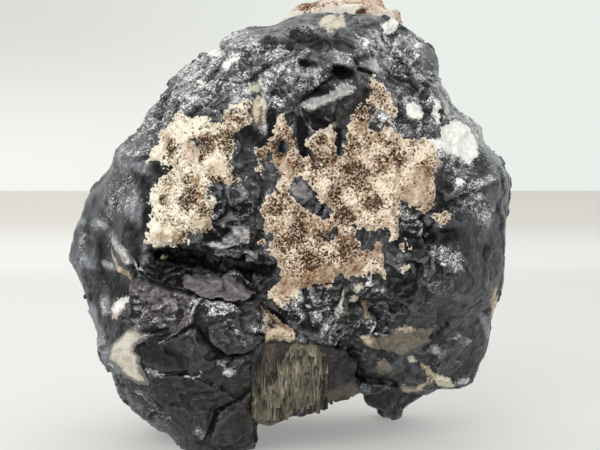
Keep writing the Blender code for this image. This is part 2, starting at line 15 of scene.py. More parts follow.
import bmesh
import bpy
import numpy as np
from bmesh.types import BMesh
from bpy.types import Material, Mesh, Node, NodeTree, Object
from bpy.types import NodeSocket as Socket
from mathutils import Matrix, Vector
from mathutils.bvhtree import BVHTree

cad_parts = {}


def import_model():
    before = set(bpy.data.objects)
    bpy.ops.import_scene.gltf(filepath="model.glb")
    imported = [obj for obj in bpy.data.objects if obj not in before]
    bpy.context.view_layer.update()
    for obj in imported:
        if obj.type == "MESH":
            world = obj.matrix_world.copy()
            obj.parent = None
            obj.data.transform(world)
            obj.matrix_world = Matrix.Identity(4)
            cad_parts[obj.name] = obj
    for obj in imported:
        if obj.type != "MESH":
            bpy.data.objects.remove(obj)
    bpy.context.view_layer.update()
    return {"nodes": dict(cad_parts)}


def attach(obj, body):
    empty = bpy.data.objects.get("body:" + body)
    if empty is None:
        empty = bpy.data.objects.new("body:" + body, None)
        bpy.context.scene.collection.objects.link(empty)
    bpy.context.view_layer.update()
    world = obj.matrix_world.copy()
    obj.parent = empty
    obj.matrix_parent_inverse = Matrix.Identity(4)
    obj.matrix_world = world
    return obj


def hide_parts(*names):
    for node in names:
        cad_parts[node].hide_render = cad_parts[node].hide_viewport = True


LOG = logging.getLogger("ilvaite")
MM = 0.001

Array = np.ndarray
Outline = Sequence[tuple[float, float]]
Colour = tuple[float, float, float]


# ------------ Noise and shapes on the layout ------------


def smooth(t: Array) -> Array:
    """0 to 1 with level ends, for t from 0 to 1."""
    t = np.clip(t, 0.0, 1.0)
    return t * t * (3.0 - 2.0 * t)


def hashed(lattice: Array, seed: int) -> Array:
    """Scatters whole-number places.

    Args:
        lattice: Whole numbers, one row per place.
        seed: Picks the scatter.

    Returns:
        A number from 0 to 1 for each place.
    """
    primes = np.array((374761393, 668265263, 2147483647), np.int64)[: lattice.shape[-1]]
    mixed = (lattice.astype(np.int64) * primes).sum(axis=-1) + seed * 1442695041
    mixed = (mixed ^ (mixed >> 13)) * 1274126177
    mixed = mixed ^ (mixed >> 16)
    mixed = (mixed * 2246822519) & 0xFFFFFFFF
    mixed = mixed ^ (mixed >> 15)
    return (mixed & 0xFFFFFF) / float(0xFFFFFF)


def value_noise(points: Array, seed: int) -> Array:
    """Smooth noise from -1 to 1 with features one unit apart, at points in two or three dimensions."""
    base = np.floor(points)
    share = smooth(points - base)
    size = points.shape[1]
    total = np.zeros(len(points))
    for corner in range(2**size):
        bits = np.array([(corner >> k) & 1 for k in range(size)])
        weight = np.prod(np.where(bits, share, 1.0 - share), axis=1)
        total += weight * hashed(base + bits, seed)
    return 2.0 * total - 1.0


def fractal(points: Array, seed: int, octaves: int = 3, gain: float = 0.5) -> Array:
    """Layers of smooth noise, each twice as fine as the one before and weaker by the gain."""
    total = np.zeros(len(points))
    strength = 1.0
    weight = 0.0
    for octave in range(octaves):
        total += strength * value_noise(points * 2.0**octave, seed + octave)
        weight += strength
        strength *= gain
    return total / weight


@dataclass(frozen=True)
class Cells:
    """A scatter of cells: how far each point is from the nearest middle and the next, and whose it is."""

    nearest: Array
    second: Array
    owner: Array
    offset: Array


def cells(points: Array, seed: int) -> Cells:
    """Finds the cell of each point, in a scatter of about one cell per unit.

    Args:
        points: Places in two or three dimensions.
        seed: Picks the scatter.

    Returns:
        The cells' distances, the lattice place that owns each point and the offset from its middle.
    """
    base = np.floor(points)
    size = points.shape[1]
    nearest = np.full(len(points), np.inf)
    second = np.full(len(points), np.inf)
    owner = np.zeros_like(points)
    offset = np.zeros_like(points)
    for step in np.ndindex(*(3,) * size):
        lattice = base + np.array(step) - 1.0
        middle = lattice + np.stack([hashed(lattice, seed + 31 * k) for k in range(size)], axis=1)
        away = points - middle
        distance = np.sqrt((away**2).sum(axis=1))
        nearer = distance < nearest
        second = np.where(nearer, nearest, np.minimum(second, distance))
        owner[nearer] = lattice[nearer]
        offset[nearer] = away[nearer]
        nearest = np.minimum(nearest, distance)
    return Cells(nearest, second, owner, offset)


def facets(points: Array, seed: int, tilt: float = 1.0, step: float = 0.3) -> Array:
    """Broken flat faces: each cell is a plane with a slope and a height of its own.

    Args:
        points: Places, in units of a face's width.
        seed: Picks the faces.
        tilt: How steep the slopes are.
        step: How much the faces' heights differ.

    Returns:
        The height at each point.
    """
    found = cells(points, seed)
    height = step * (2.0 * hashed(found.owner, seed + 7) - 1.0)
    for axis in range(points.shape[1]):
        slope = 2.0 * hashed(found.owner, seed + 11 + axis) - 1.0
        height += tilt * slope * found.offset[:, axis]
    return height


def to_line(points: Array, line: Outline, closed: bool) -> tuple[Array, Array]:
    """Measures points against a line or a closed outline.

    Args:
        points: Layout points.
        line: The line's corners.
        closed: Whether its last corner joins its first.

    Returns:
        Each point's distance, and how far along the line its nearest place is, from 0 to 1.
    """
    corners = np.array(line, float)
    starts = corners if closed else corners[:-1]
    ends = np.roll(corners, -1, axis=0) if closed else corners[1:]
    best = np.full(len(points), np.inf)
    share = np.zeros(len(points))
    for number, (a, b) in enumerate(zip(starts, ends)):
        along = b - a
        t = np.clip((points - a) @ along / (along @ along), 0.0, 1.0)
        offset = points - (a + t[:, None] * along)
        distance = np.hypot(offset[:, 0], offset[:, 1])
        nearer = distance < best
        best[nearer] = distance[nearer]
        share[nearer] = (number + t[nearer]) / len(starts)
    return best, share


def inside(points: Array, outline: Outline) -> Array:
    """Whether each layout point lies in a closed outline."""
    found = np.zeros(len(points), bool)
    corners = np.array(outline, float)
    for a, b in zip(corners, np.roll(corners, -1, axis=0)):
        spans = (a[1] > points[:, 1]) != (b[1] > points[:, 1])
        rise = b[1] - a[1] if b[1] != a[1] else 1.0
        found ^= spans & (points[:, 0] < a[0] + (points[:, 1] - a[1]) * (b[0] - a[0]) / rise)
    return found


def depth_in(points: Array, outline: Outline) -> Array:
    """How far inside an outline each layout point lies, and below 0 outside it."""
    distance = to_line(points, outline, closed=True)[0]
    return np.where(inside(points, outline), distance, -distance)


@dataclass(frozen=True)
class Blot:
    """A soft mark along a line, with its half width in layout units."""

    line: Outline
    width: float
    amount: float = 1.0


def blots(*rows: tuple) -> tuple[Blot, ...]:
    """Marks, from rows of a half width, an amount and the places along each line."""
    return tuple(Blot(tuple(line), width, amount) for width, amount, *line in rows)


def blotted(points: Array, marks: Sequence[Blot]) -> Array:
    """The strongest of some marks at each layout point."""
    total = np.zeros(len(points))
    for blot in marks:
        distance = to_line(points, blot.line, closed=False)[0]
        total = np.maximum(total, blot.amount * smooth(1.45 - distance / blot.width))
    return total


def depth_in_any(points: Array, outlines: Sequence[Outline]) -> Array:
    """The largest of the depths in several outlines."""
    return np.max([depth_in(points, outline) for outline in outlines], axis=0)


@dataclass(frozen=True)
class Layout:
    """The sheet that the front is laid out on, and the station it is seen from."""

    station: tuple[float, float, float] = (1.3, -198.56, 41.3)
    distance: float = 200.0
    unit: float = 0.145
    middle: tuple[float, float] = (300.0, 150.0)

    def of(self, points: Array) -> Array:
        """The layout places of points in space.

        Args:
            points: Places in millimetres.

        Returns:
            Right and down on the layout, in its units.
        """
        away = points - np.array(self.station)
        scale = self.distance / away[:, 1] / self.unit
        return np.stack(
            [self.middle[0] + away[:, 0] * scale, self.middle[1] - away[:, 2] * scale], axis=1
        )

    def sight(self, place: Array) -> Vector:
        """The direction from the station through a layout place."""
        right = (place[0] - self.middle[0]) * self.unit
        up = (self.middle[1] - place[1]) * self.unit
        return Vector((right, self.distance, up)).normalized()


LAYOUT = Layout()


# ------------ Meshes ------------


def add_object(name: str, bm: BMesh) -> Object:
    """Makes a scene object of a bmesh, which it frees."""
    mesh = bpy.data.meshes.new(name)
    bm.to_mesh(mesh)
    bm.free()
    made = bpy.data.objects.new(name, mesh)
    bpy.context.scene.collection.objects.link(made)
    return made


def copy_of_node(node: Object, name: str) -> Object:
    """A free copy of a CAD node, with its loose triangles merged and its lengths in millimetres."""
    bm = bmesh.new()
    bm.from_mesh(node.data)
    bmesh.ops.remove_doubles(bm, verts=bm.verts, dist=1e-6)
    bmesh.ops.scale(bm, vec=(1.0 / MM,) * 3, verts=bm.verts)
    return add_object(name, bm)


def baked(made: Object) -> Object:
    """Applies an object's modifiers."""
    bpy.context.view_layer.update()
    graph = bpy.context.evaluated_depsgraph_get()
    mesh = bpy.data.meshes.new_from_object(made.evaluated_get(graph))
    made.modifiers.clear()
    made.data = mesh
    return made


def remeshed(made: Object, voxel: float) -> Object:
    """Gives an object one even skin of squares of about the voxel's size, in millimetres."""
    skin = made.modifiers.new("Skin", "REMESH")
    skin.mode = "VOXEL"
    skin.voxel_size = voxel
    skin.use_smooth_shade = True
    return baked(made)


def triangles_in(mesh: Mesh) -> int:
    """How many triangles a mesh comes to."""
    return sum(len(p.vertices) - 2 for p in mesh.polygons)


def thinned(made: Object, triangles: int) -> Object:
    """Brings an object down to a number of triangles, where its surface is flattest."""
    thin = made.modifiers.new("Thin", "DECIMATE")
    thin.ratio = min(1.0, triangles / triangles_in(made.data))
    return baked(made)


def places_of(mesh: Mesh) -> Array:
    """A mesh's vertices as rows."""
    flat = np.empty(len(mesh.vertices) * 3)
    mesh.vertices.foreach_get("co", flat)
    return flat.reshape(-1, 3)


def normals_of(mesh: Mesh) -> Array:
    """A mesh's vertex normals as rows."""
    flat = np.empty(len(mesh.vertices) * 3, np.float32)
    mesh.vertex_normals.foreach_get("vector", flat)
    return flat.reshape(-1, 3).astype(float)


def move_to(mesh: Mesh, places: Array) -> None:
    """Puts a mesh's vertices at new places."""
    mesh.vertices.foreach_set("co", places.ravel())
    mesh.update()


def mark(mesh: Mesh, name: str, values: Array) -> None:
    """Stores a number at each vertex for the materials to read."""
    attribute = mesh.attributes.new(name, "FLOAT", "POINT")
    attribute.data.foreach_set("value", values.astype(np.float32))


def finished(made: Object, node: str, finish: Material) -> Object:
    """Brings a piece to metres, dresses it, hides the CAD node that it stands for and attaches it to the root
    body.

    Args:
        made: The piece, in millimetres.
        node: The CAD node's name; that node is hidden.
        finish: The material.

    Returns:
        The piece.
    """
    made.data.transform(Matrix.Scale(MM, 4))
    made.data.shade_smooth()
    made.data.materials.clear()
    made.data.materials.append(finish)
    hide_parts(node)
    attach(made, "root")
    LOG.info("%s: %d vertices, %d triangles", made.name, len(made.data.vertices), triangles_in(made.data))
    return made


@dataclass(frozen=True)
class Nudge:
    """A soft shift of the shape round a layout place, in layout units."""

    place: tuple[float, float]
    reach: float
    shift: tuple[float, float]


NUDGES = (
    Nudge((102, 162), 44, (7, 6)),
    Nudge((136, 126), 30, (2, 3)),
    Nudge((188, 64), 34, (3, 3)),
    Nudge((274, 16), 38, (0, 6)),
    Nudge((468, 106), 32, (-9, 3)),
    Nudge((494, 140), 20, (-7, 0)),
    Nudge((430, 48), 22, (5, -4)),
    Nudge((404, 14), 24, (-5, 3)),
    Nudge((464, 384), 28, (7, 4)),
    Nudge((422, 392), 18, (8, 3)),
    Nudge((102, 356), 22, (-5, 0)),
    Nudge((410, 412), 14, (-6, 0)),
    Nudge((368, 402), 14, (-4, 2)),
    Nudge((216, 42), 16, (3, 5)),
    Nudge((252, 446), 16, (5, 0)),
    Nudge((341, 12), 9, (0, 3)),
    Nudge((376, 415), 10, (6, -1)),
)


def nudged(places: Array, nudges: Sequence[Nudge] = NUDGES) -> Array:
    """Shifts the shape where its outline, seen from the station, needs it."""
    at = LAYOUT.of(places)
    moved = places.copy()
    for nudge in nudges:
        share = LAYOUT.unit * smooth(1.0 - np.hypot(*(at - np.array(nudge.place)).T) / nudge.reach)
        moved[:, 0] += nudge.shift[0] * share
        moved[:, 2] -= nudge.shift[1] * share
    return moved


def relax(bm: BMesh, passes: int) -> None:
    """Rounds a mesh off, a little more with each pass."""
    for _ in range(passes):
        bmesh.ops.smooth_vert(
            bm, verts=bm.verts, factor=0.5, use_axis_x=True, use_axis_y=True, use_axis_z=True
        )


def relief_of(mesh: Mesh, passes: int) -> Array:
    """How far each vertex stands out of the surface round it, in millimetres: below 0 in hollows."""
    bm = bmesh.new()
    bm.from_mesh(mesh)
    relax(bm, passes)
    level = np.array([v.co for v in bm.verts])
    bm.free()
    return ((places_of(mesh) - level) * normals_of(mesh)).sum(axis=1)


def tree_of(mesh: Mesh) -> BVHTree:
    """A mesh's faces, ready to be met by rays."""
    return BVHTree.FromPolygons(places_of(mesh).tolist(), [tuple(p.vertices) for p in mesh.polygons])


# ------------ Materials ------------

Input = "Socket | float | Colour"
Feeds = dict[int | str, Input]  # what goes into each of a node's inputs
Sockets = Sequence[tuple[str, str]]  # the name and the kind of each


@dataclass(frozen=True)
class Grain:
    """A pattern of smooth noise."""

    size: float  # the width of its features, in millimetres
    detail: float = 3.0  # how many finer layers it has
    stretch: float = 1.0  # how many times longer than wide its features are
    turn: float = 0.0  # how far their long side leans from upright towards the right, in degrees


@dataclass
class Graph:
    """Adds nodes to a material or a group, and wires them."""

    tree: NodeTree

    def node(self, kind: str, feeds: Optional[Feeds] = None, **settings: object) -> Node:
        """Adds a node, sets its properties and feeds its inputs."""
        made = self.tree.nodes.new(kind)
        for name, value in settings.items():
            setattr(made, name, value)
        return self.fill(made, feeds or {})

    def fill(self, node: Node, feeds: Feeds) -> Node:
        """Feeds a node's inputs, which go by their names or their numbers."""
        for socket, value in feeds.items():
            self.feed(node.inputs[socket], value)
        return node

    def feed(self, socket: Socket, value: Input) -> None:
        """Wires a socket to another, or sets its value."""
        if isinstance(value, Socket):
            self.tree.links.new(value, socket)
        elif isinstance(value, tuple) and len(value) == 3 and socket.type == "RGBA":
            socket.default_value = (*value, 1.0)
        else:
            socket.default_value = value

    def math(self, operation: str, a: Input, b: Input = 0.0, clamp: bool = False) -> Socket:
        """Joins two numbers."""
        return self.node("ShaderNodeMath", {0: a, 1: b}, operation=operation, use_clamp=clamp).outputs[0]

    def vectors(self, operation: str, feeds: Feeds) -> Socket:
        """Joins vectors or colours."""
        return self.node("ShaderNodeVectorMath", feeds, operation=operation).outputs[0]

    def step(self, value: Input, low: float, high: float) -> Socket:
        """0 below the low value and 1 above the high one, with a soft rise between."""
        feeds = {"Value": value, "From Min": low, "From Max": high}
        return self.node("ShaderNodeMapRange", feeds, interpolation_type="SMOOTHSTEP").outputs["Result"]

    def mix(self, share: Input, a: Input, b: Input) -> Socket:
        """Goes from one colour to another."""
        return self.node("ShaderNodeMix", {0: share, 6: a, 7: b}, data_type="RGBA").outputs[2]

    def attribute(self, name: str) -> Socket:
        """Reads a number that the mesh stores at its vertices."""
        return self.node("ShaderNodeAttribute", attribute_name=name).outputs["Fac"]

    def place(self) -> Socket:
        """The place on the piece."""
        return self.node("ShaderNodeTexCoord").outputs["Object"]

    def noise(self, place: Socket, grain: Grain) -> Socket:
        """Smooth noise round 0.5, mostly from 0 to 1."""
        size = grain.size * MM
        turn = (0.0, math.radians(grain.turn), 0.0)
        scale = (size, size, size * grain.stretch)
        feeds = {"Vector": place, "Rotation": turn, "Scale": scale}
        mapped = self.node("ShaderNodeMapping", feeds, vector_type="TEXTURE").outputs[0]
        feeds = {"Vector": mapped, "Scale": 1.0, "Detail": grain.detail, "Roughness": 0.6}
        made = self.node("ShaderNodeTexNoise", feeds)
        feeds = {"Value": made.outputs["Fac"], "From Min": 0.3, "From Max": 0.7}
        return self.node("ShaderNodeMapRange", feeds, clamp=False).outputs["Result"]

    def blend(self, *parts: tuple[Input, float]) -> Socket:
        """A weighted sum of numbers."""
        total: Input = 0.0
        for value, weight in parts:
            feeds = {0: value, 1: weight, 2: total}
            total = self.node("ShaderNodeMath", feeds, operation="MULTIPLY_ADD").outputs[0]
        return total

    def shaded(self, colour: Input, share: Input) -> Socket:
        """Darkens a colour to a share of itself."""
        return self.vectors("SCALE", {0: colour, "Scale": share})

    def bent(self, place: Socket, size: float, shift: float) -> Socket:
        """Wobbles places by noise of a size, by up to about half the shift, both in millimetres."""
        noise = self.node("ShaderNodeTexNoise", {"Vector": place, "Scale": 1.0 / (size * MM)})
        return self.vectors("MULTIPLY_ADD", {0: noise.outputs["Color"], 1: (shift * MM,) * 3, 2: place})

    def cell(self, place: Socket, size: float, feature: str = "F1") -> Node:
        """A scatter of cells, sized in millimetres."""
        feeds = {"Vector": place, "Scale": 1.0 / (size * MM)}
        return self.node("ShaderNodeTexVoronoi", feeds, feature=feature)

    def bump(self, height: Input, rise: float, strength: Input = 1.0) -> Node:
        """Tilts the surface by a height.

        Args:
            height: The height, from 0 to 1.
            rise: What a height of 1 comes to, in millimetres.
            strength: How much of the tilt to use.

        Returns:
            The node, whose output is the tilted normal.
        """
        return self.node("ShaderNodeBump", {"Height": height, "Distance": rise * MM, "Strength": strength})

    def group(self, made: NodeTree, **inputs: Input) -> Node:
        """Places a shared group and feeds it."""
        feeds = {name.replace("_", " ").title(): value for name, value in inputs.items()}
        return self.node("ShaderNodeGroup", feeds, node_tree=made)


def new_group(name: str, inputs: Sockets, outputs: Sockets) -> tuple[NodeTree, Graph, Node, Node]:
    """Starts a shared node group.

    Args:
        name: Its name.
        inputs: The name and the kind of each input.
        outputs: The name and the kind of each output.

    Returns:
        The group, its graph, and the nodes of its inputs and its outputs.
    """
    made = bpy.data.node_groups.new(name, "ShaderNodeTree")
    for label, kind in inputs:
        made.interface.new_socket(name=label, in_out="INPUT", socket_type=f"NodeSocket{kind}")
    for label, kind in outputs:
        made.interface.new_socket(name=label, in_out="OUTPUT", socket_type=f"NodeSocket{kind}")
    graph = Graph(made)
    return made, graph, graph.node("NodeGroupInput"), graph.node("NodeGroupOutput")


@dataclass(frozen=True)
class SharedGroups:
    """The effects that more than one finish uses."""

    edge: NodeTree
    frost_and_sheen: NodeTree
    hackle: NodeTree


def ragged_edge_group() -> NodeTree:
    """A mask that is 1 well inside a marked patch and breaks up into grains at its edge."""
    made, graph, given, result = new_group(
        "ragged edge", (("Place", "Vector"), ("Depth", "Float"), ("Spread", "Float")), (("Mask", "Float"),)
    )
    place = given.outputs["Place"]
    coarse = graph.noise(place, Grain(0.8, 4.0))
    fine = graph.noise(place, Grain(0.22, 2.0))
    mixed = graph.math("SUBTRACT", graph.blend((coarse, 0.6), (fine, 0.4)), 0.5)
    moved = graph.math("MULTIPLY", mixed, given.outputs["Spread"])
    depth = graph.math("ADD", given.outputs["Depth"], moved)
    graph.feed(result.inputs["Mask"], graph.step(depth, -0.4, 0.5))
    return made


def frost_and_sheen_group() -> NodeTree:
    """A film that runs in smears, and bright grains where the film is thickest: partly a whitish frost,
    partly painted sheen and highlight.
    """
    made, graph, given, result = new_group(
        "frost_and_sheen", (("Place", "Vector"), ("Amount", "Float")), (("Film", "Float"), ("Grains", "Float"))
    )
    place = given.outputs["Place"]
    level = graph.blend(
        (graph.noise(place, Grain(2.4, 2.0, 1.4, 35.0)), 0.58),
        (graph.noise(place, Grain(0.75, 2.0, 1.8, 50.0)), 0.34),
        (graph.noise(place, Grain(0.20, 1.0, 1.5, 60.0)), 0.98),
        (given.outputs["Amount"], 1.0),
        (1.0, -1.00),
    )
    graph.fill(result, {"Film": graph.step(level, 0.34, 0.80), "Grains": graph.step(level, 0.78, 1.10)})
    return made


def hackle_group() -> NodeTree:
    """Fine broken relief: short layers lying across, with chips between them."""
    made, graph, given, result = new_group("hackle", (("Place", "Vector"),), (("Height", "Float"),))
    place = given.outputs["Place"]
    layers = graph.noise(place, Grain(0.26, 4.0, 3.2, 84.0))
    chips = graph.noise(place, Grain(0.55, 5.0))
    graph.feed(result.inputs["Height"], graph.blend((layers, 0.55), (chips, 0.45)))
    return made


def new_material(
    name: str, roughness: float, level: float = 0.5, ior: float = 1.5
) -> tuple[Material, Graph, Node]:
    """Starts a finish.

    Args:
        name: Its name.
        roughness: Its plain roughness, until something is wired to it.
        level: Its specular level.
        ior: Its refractive index.

    Returns:
        The material, its graph and its Principled node.
    """
    made = bpy.data.materials.new(name)
    made.use_nodes = True
    graph = Graph(made.node_tree)
    shader = made.node_tree.nodes["Principled BSDF"]
    graph.fill(shader, {"Roughness": roughness, "Specular IOR Level": level, "IOR": ior})
    return made, graph, shader


@dataclass(frozen=True)
class Mineral:
    """A small mineral on the rock, or a painted highlight or lit face, where the number that the skin stores
    by its name is above 0.
    """

    name: str
    tint: Colour
    spread: float  # how far its edge breaks up, in layout units
    shading: float  # how strongly the relief shades it
    soft: float  # the width of its edge, in layout units


@dataclass(frozen=True)
class Surface:
    """What the steps of the black rock's finish share."""

    graph: Graph
    shared: SharedGroups
    place: Socket
    height: Socket  # of the fine broken relief
    hackle: Socket  # how hackly the fracture is
    edge: Socket  # 1 on edges and -1 in hollows
    etched: Socket  # fine etching round 0, strongest where it is hackly


@dataclass(frozen=True)
class IlvaiteFinish:
    """Black rock: glossy and dull faces, frost with painted sheen, small mineral patches and veins, painted
    highlights on lit faces and edges, and painted shade in hollows.
    """

    dark: Colour = (0.007, 0.007, 0.008)
    grey: Colour = (0.068, 0.071, 0.080)
    brown: Colour = (0.150, 0.128, 0.130)
    # painted sheen: a soft grey highlight on glossy rims and faces
    painted_sheen: Colour = (0.30, 0.32, 0.35)
    # the frost's film and grains: in part a whitish coating, in part painted sheen and highlight
    film: Colour = (0.26, 0.265, 0.27)
    grains: Colour = (0.70, 0.69, 0.67)
    minerals: tuple[Mineral, ...] = (
        # painted lit face: a purplish grey laid on faces lit from above
        Mineral("painted_lit_face", (0.235, 0.212, 0.212), 4.0, 0.50, 1.8),
        # painted highlight: a pale grey laid on lit faces, lips and ridges
        Mineral("painted_highlight", (0.56, 0.54, 0.53), 6.0, 0.60, 2.0),
        Mineral("vein", (0.62, 0.60, 0.56), 2.4, 0.40, 1.0),
        Mineral("glassy", (0.175, 0.148, 0.110), 8.0, 0.55, 4.5),
        Mineral("tan", (0.60, 0.48, 0.34), 6.0, 0.45, 3.0),
        Mineral("ivory", (0.72, 0.66, 0.53), 5.0, 0.30, 2.2),
        Mineral("cream", (1.0, 0.985, 0.93), 5.5, 0.12, 1.4),
    )
    etching: Grain = Grain(0.26, 2.0, 1.5, 40.0)
    clouds: Grain = Grain(4.5, 3.0)
    smears: Grain = Grain(0.8, 2.0, 1.6, 25.0)
    sheen_breakup: Grain = Grain(1.8, 2.0, 2.5, 10.0)
    streaks: Grain = Grain(0.55, 4.0, 2.6, 65.0)
    glosses: Grain = Grain(1.2, 3.0)
    crystal_size: float = 0.62
    relief_rise: float = 0.16

    def material(self, shared: SharedGroups) -> Material:
        """Builds the finish."""
        made, graph, shader = new_material("ilvaite_black", 0.5, 0.33, 1.6)
        surface = self.surface(graph, shared)
        frost_and_sheen = self.frost_and_sheen(surface)
        colour = self.bare_rock(surface)
        colour = graph.mix(frost_and_sheen.outputs["Film"], colour, self.film)
        colour = graph.mix(frost_and_sheen.outputs["Grains"], colour, self.grains)
        colour = graph.shaded(colour, self.hollows(surface))
        colour = self.with_minerals(surface, colour)
        # Painted shade: darkens hollows, clefts and overhangs, and makes them rougher
        painted_shade = graph.attribute("painted_shade")
        colour = graph.shaded(colour, graph.math("SUBTRACT", 1.0, painted_shade))
        gloss = graph.blend(
            (graph.noise(surface.place, self.glosses), 0.30),
            (1.0, 0.18),
            (frost_and_sheen.outputs["Film"], 0.15),
            (graph.attribute("brown"), 0.45),
        )
        dull = graph.math("ADD", gloss, painted_shade, clamp=True)
        graph.fill(shader, {"Base Color": colour, "Roughness": dull, "Normal": self.relief(surface)})
        return made

    def surface(self, graph: Graph, shared: SharedGroups) -> Surface:
        """Reads what the other steps share."""
        place = graph.place()
        height = graph.group(shared.hackle, place=place).outputs["Height"]
        hackle = graph.attribute("hackle")
        etched = graph.math("SUBTRACT", graph.noise(place, self.etching), 0.5)
        etched = graph.math("MULTIPLY", etched, graph.blend((hackle, 0.9), (1.0, 0.15)))
        return Surface(graph, shared, place, height, hackle, graph.attribute("edge"), etched)

    def bare_rock(self, surface: Surface) -> Socket:
        """The rock's colour: black to grey, lighter on edges and darker in hollows, which paints highlight
        and shade on the relief; brown where it is dusty; and a painted grey sheen laid over it.
        """
        graph = surface.graph
        # Lighter on edges and darker in hollows: painted highlight and shade on the relief
        tone = graph.blend(
            (graph.noise(surface.place, self.clouds), 0.45),
            (graph.noise(surface.place, self.smears), 0.50),
            (surface.etched, 0.60),
            (surface.edge, 0.35),
            (1.0, 0.25),
        )
        colour = graph.mix(graph.step(tone, 0.50, 1.15), self.dark, self.grey)
        brown = graph.attribute("brown")
        # The brown ground is also lighter on edges and raised relief: painted highlight
        ground = graph.blend((surface.height, 0.55), (surface.etched, 0.5), (surface.edge, 0.25), (1.0, 0.22))
        ground = graph.mix(graph.step(ground, 0.15, 0.85), self.dark, self.brown)
        dusty = graph.math("MULTIPLY", brown, 4.0, clamp=True)
        colour = graph.mix(dusty, colour, graph.shaded(ground, brown))
        # Painted sheen: a soft grey highlight, broken up by noise
        painted_sheen = graph.blend(
            (graph.attribute("painted_sheen"), 1.0), (graph.noise(surface.place, self.sheen_breakup), 0.5), (1.0, -0.35)
        )
        return graph.mix(graph.step(painted_sheen, 0.1, 1.3), colour, self.painted_sheen)

    def frost_and_sheen(self, surface: Surface) -> Node:
        """The frost and painted sheen, laid thicker on edges and on the raised layers of hackly rock, which
        paints highlights on them.
        """
        graph = surface.graph
        lines = graph.math("MULTIPLY", graph.math("SUBTRACT", surface.height, 0.5), surface.hackle)
        amount = graph.blend((graph.attribute("frost_and_sheen"), 1.0), (surface.edge, 0.22), (lines, 0.55))
        return graph.group(surface.shared.frost_and_sheen, place=surface.place, amount=amount)

    def hollows(self, surface: Surface) -> Socket:
        """How much light reaches the surface: less in its hollows."""
        graph = surface.graph
        return graph.blend(
            (1.0, 0.21),
            (graph.step(surface.height, 0.25, 0.75), 0.44),
            (graph.step(surface.edge, -0.9, 0.9), 0.90),
        )

    def with_minerals(self, surface: Surface, colour: Socket) -> Socket:
        """Lays the minerals, and the painted highlights and lit faces, over the rock's colour, from the first
        to the last.
        """
        graph = surface.graph
        streaky = graph.noise(surface.place, self.streaks)
        lit = graph.step(surface.height, 0.1, 0.8)
        for mineral in self.minerals:
            inward = graph.math("DIVIDE", graph.attribute(mineral.name), mineral.soft)
            spread = mineral.spread / mineral.soft
            edge = graph.group(surface.shared.edge, place=surface.place, depth=inward, spread=spread)
            swing = 0.15 + 0.6 * mineral.shading
            relit = graph.blend(
                (1.0, 1.0 - 0.8 * mineral.shading - 0.5 * swing),
                (lit, 0.8 * mineral.shading),
                (surface.edge, 0.5 * mineral.shading),
                (streaky, swing),
            )
            colour = graph.mix(edge.outputs["Mask"], colour, graph.shaded(mineral.tint, relit))
        return colour

    def relief(self, surface: Surface) -> Socket:
        """The normal: the fine relief over the crystals' faces."""
        graph = surface.graph
        height = graph.blend((surface.height, 1.0), (surface.etched, 0.4))
        strength = graph.blend((surface.hackle, 0.75), (1.0, 0.10))
        bump = graph.bump(height, self.relief_rise, strength)
        return graph.fill(bump, {"Normal": self.crystal_faces(surface)}).outputs[0]

    def crystal_faces(self, surface: Surface) -> Socket:
        """A normal that is turned a little for each small crystal, so that some of them catch the light."""
        graph = surface.graph
        crystal = graph.fill(graph.cell(surface.place, self.crystal_size), {"Detail": 1.0})
        turned = graph.vectors("SUBTRACT", {0: crystal.outputs["Color"], 1: (0.5, 0.5, 0.5)})
        share = graph.blend((surface.hackle, 0.50), (1.0, 0.06))
        normal = graph.node("ShaderNodeNewGeometry").outputs["Normal"]
        added = graph.vectors("ADD", {0: graph.shaded(turned, share), 1: normal})
        return graph.vectors("NORMALIZE", {0: added})


@dataclass(frozen=True)
class CrustFinish:
    """A matt porous crust: a pale net with brown gaps, closer where it is more pitted."""

    name: str
    light: Colour
    middle: Colour
    stain: Colour
    pore: Colour = (0.076, 0.035, 0.013)
    specks: Grain = Grain(0.20, 2.0)
    sponge: Grain = Grain(0.31, 2.0, 1.6, 75.0)
    patches: Grain = Grain(1.7, 4.0)
    net_size: float = 0.46
    wobble_size: float = 0.5
    wobble: float = 0.30
    relief_rise: float = 0.14

    def material(self) -> Material:
        """Builds the finish."""
        made, graph, shader = new_material(self.name, 0.88, 0.12)
        place = graph.place()
        specks = graph.noise(place, self.specks)
        level = self.level(graph, place, specks)
        colour = graph.mix(graph.step(level, 0.40, 1.00), self.middle, self.light)
        colour = graph.mix(graph.step(level, 0.02, 0.48), self.stain, colour)
        colour = graph.mix(graph.step(level, -0.32, 0.04), self.pore, colour)
        colour = graph.mix(graph.step(graph.attribute("pore"), 0.30, 1.10), colour, self.pore)
        relief = graph.blend((graph.step(level, -0.3, 0.7), 1.0), (specks, 0.35))
        normal = graph.bump(relief, self.relief_rise, 0.9).outputs[0]
        graph.fill(shader, {"Base Color": colour, "Normal": normal})
        return made

    def level(self, graph: Graph, place: Socket, specks: Socket) -> Socket:
        """How proud and pale the crust is: lowest in the gaps of its sponge.

        Args:
            graph: The material's graph.
            place: Where it is read.
            specks: Its finest grain.

        Returns:
            The level, mostly from -0.3 to 1.
        """
        pitted = graph.attribute("pitted")
        bent = graph.bent(place, self.wobble_size, self.wobble)
        net = graph.cell(bent, self.net_size, "DISTANCE_TO_EDGE").outputs["Distance"]
        sponge = graph.blend(
            (graph.noise(place, self.sponge), 0.65), (graph.step(net, 0.02, 0.30), -0.55), (1.0, -0.03)
        )
        swing = graph.math("MULTIPLY", sponge, graph.blend((pitted, 1.75), (1.0, 0.20)))
        return graph.blend(
            (graph.attribute("light"), 1.0),
            (graph.noise(place, self.patches), 0.55),
            (swing, 1.0),
            (pitted, -0.50),
            (specks, 0.16),
            (1.0, -0.19),
        )


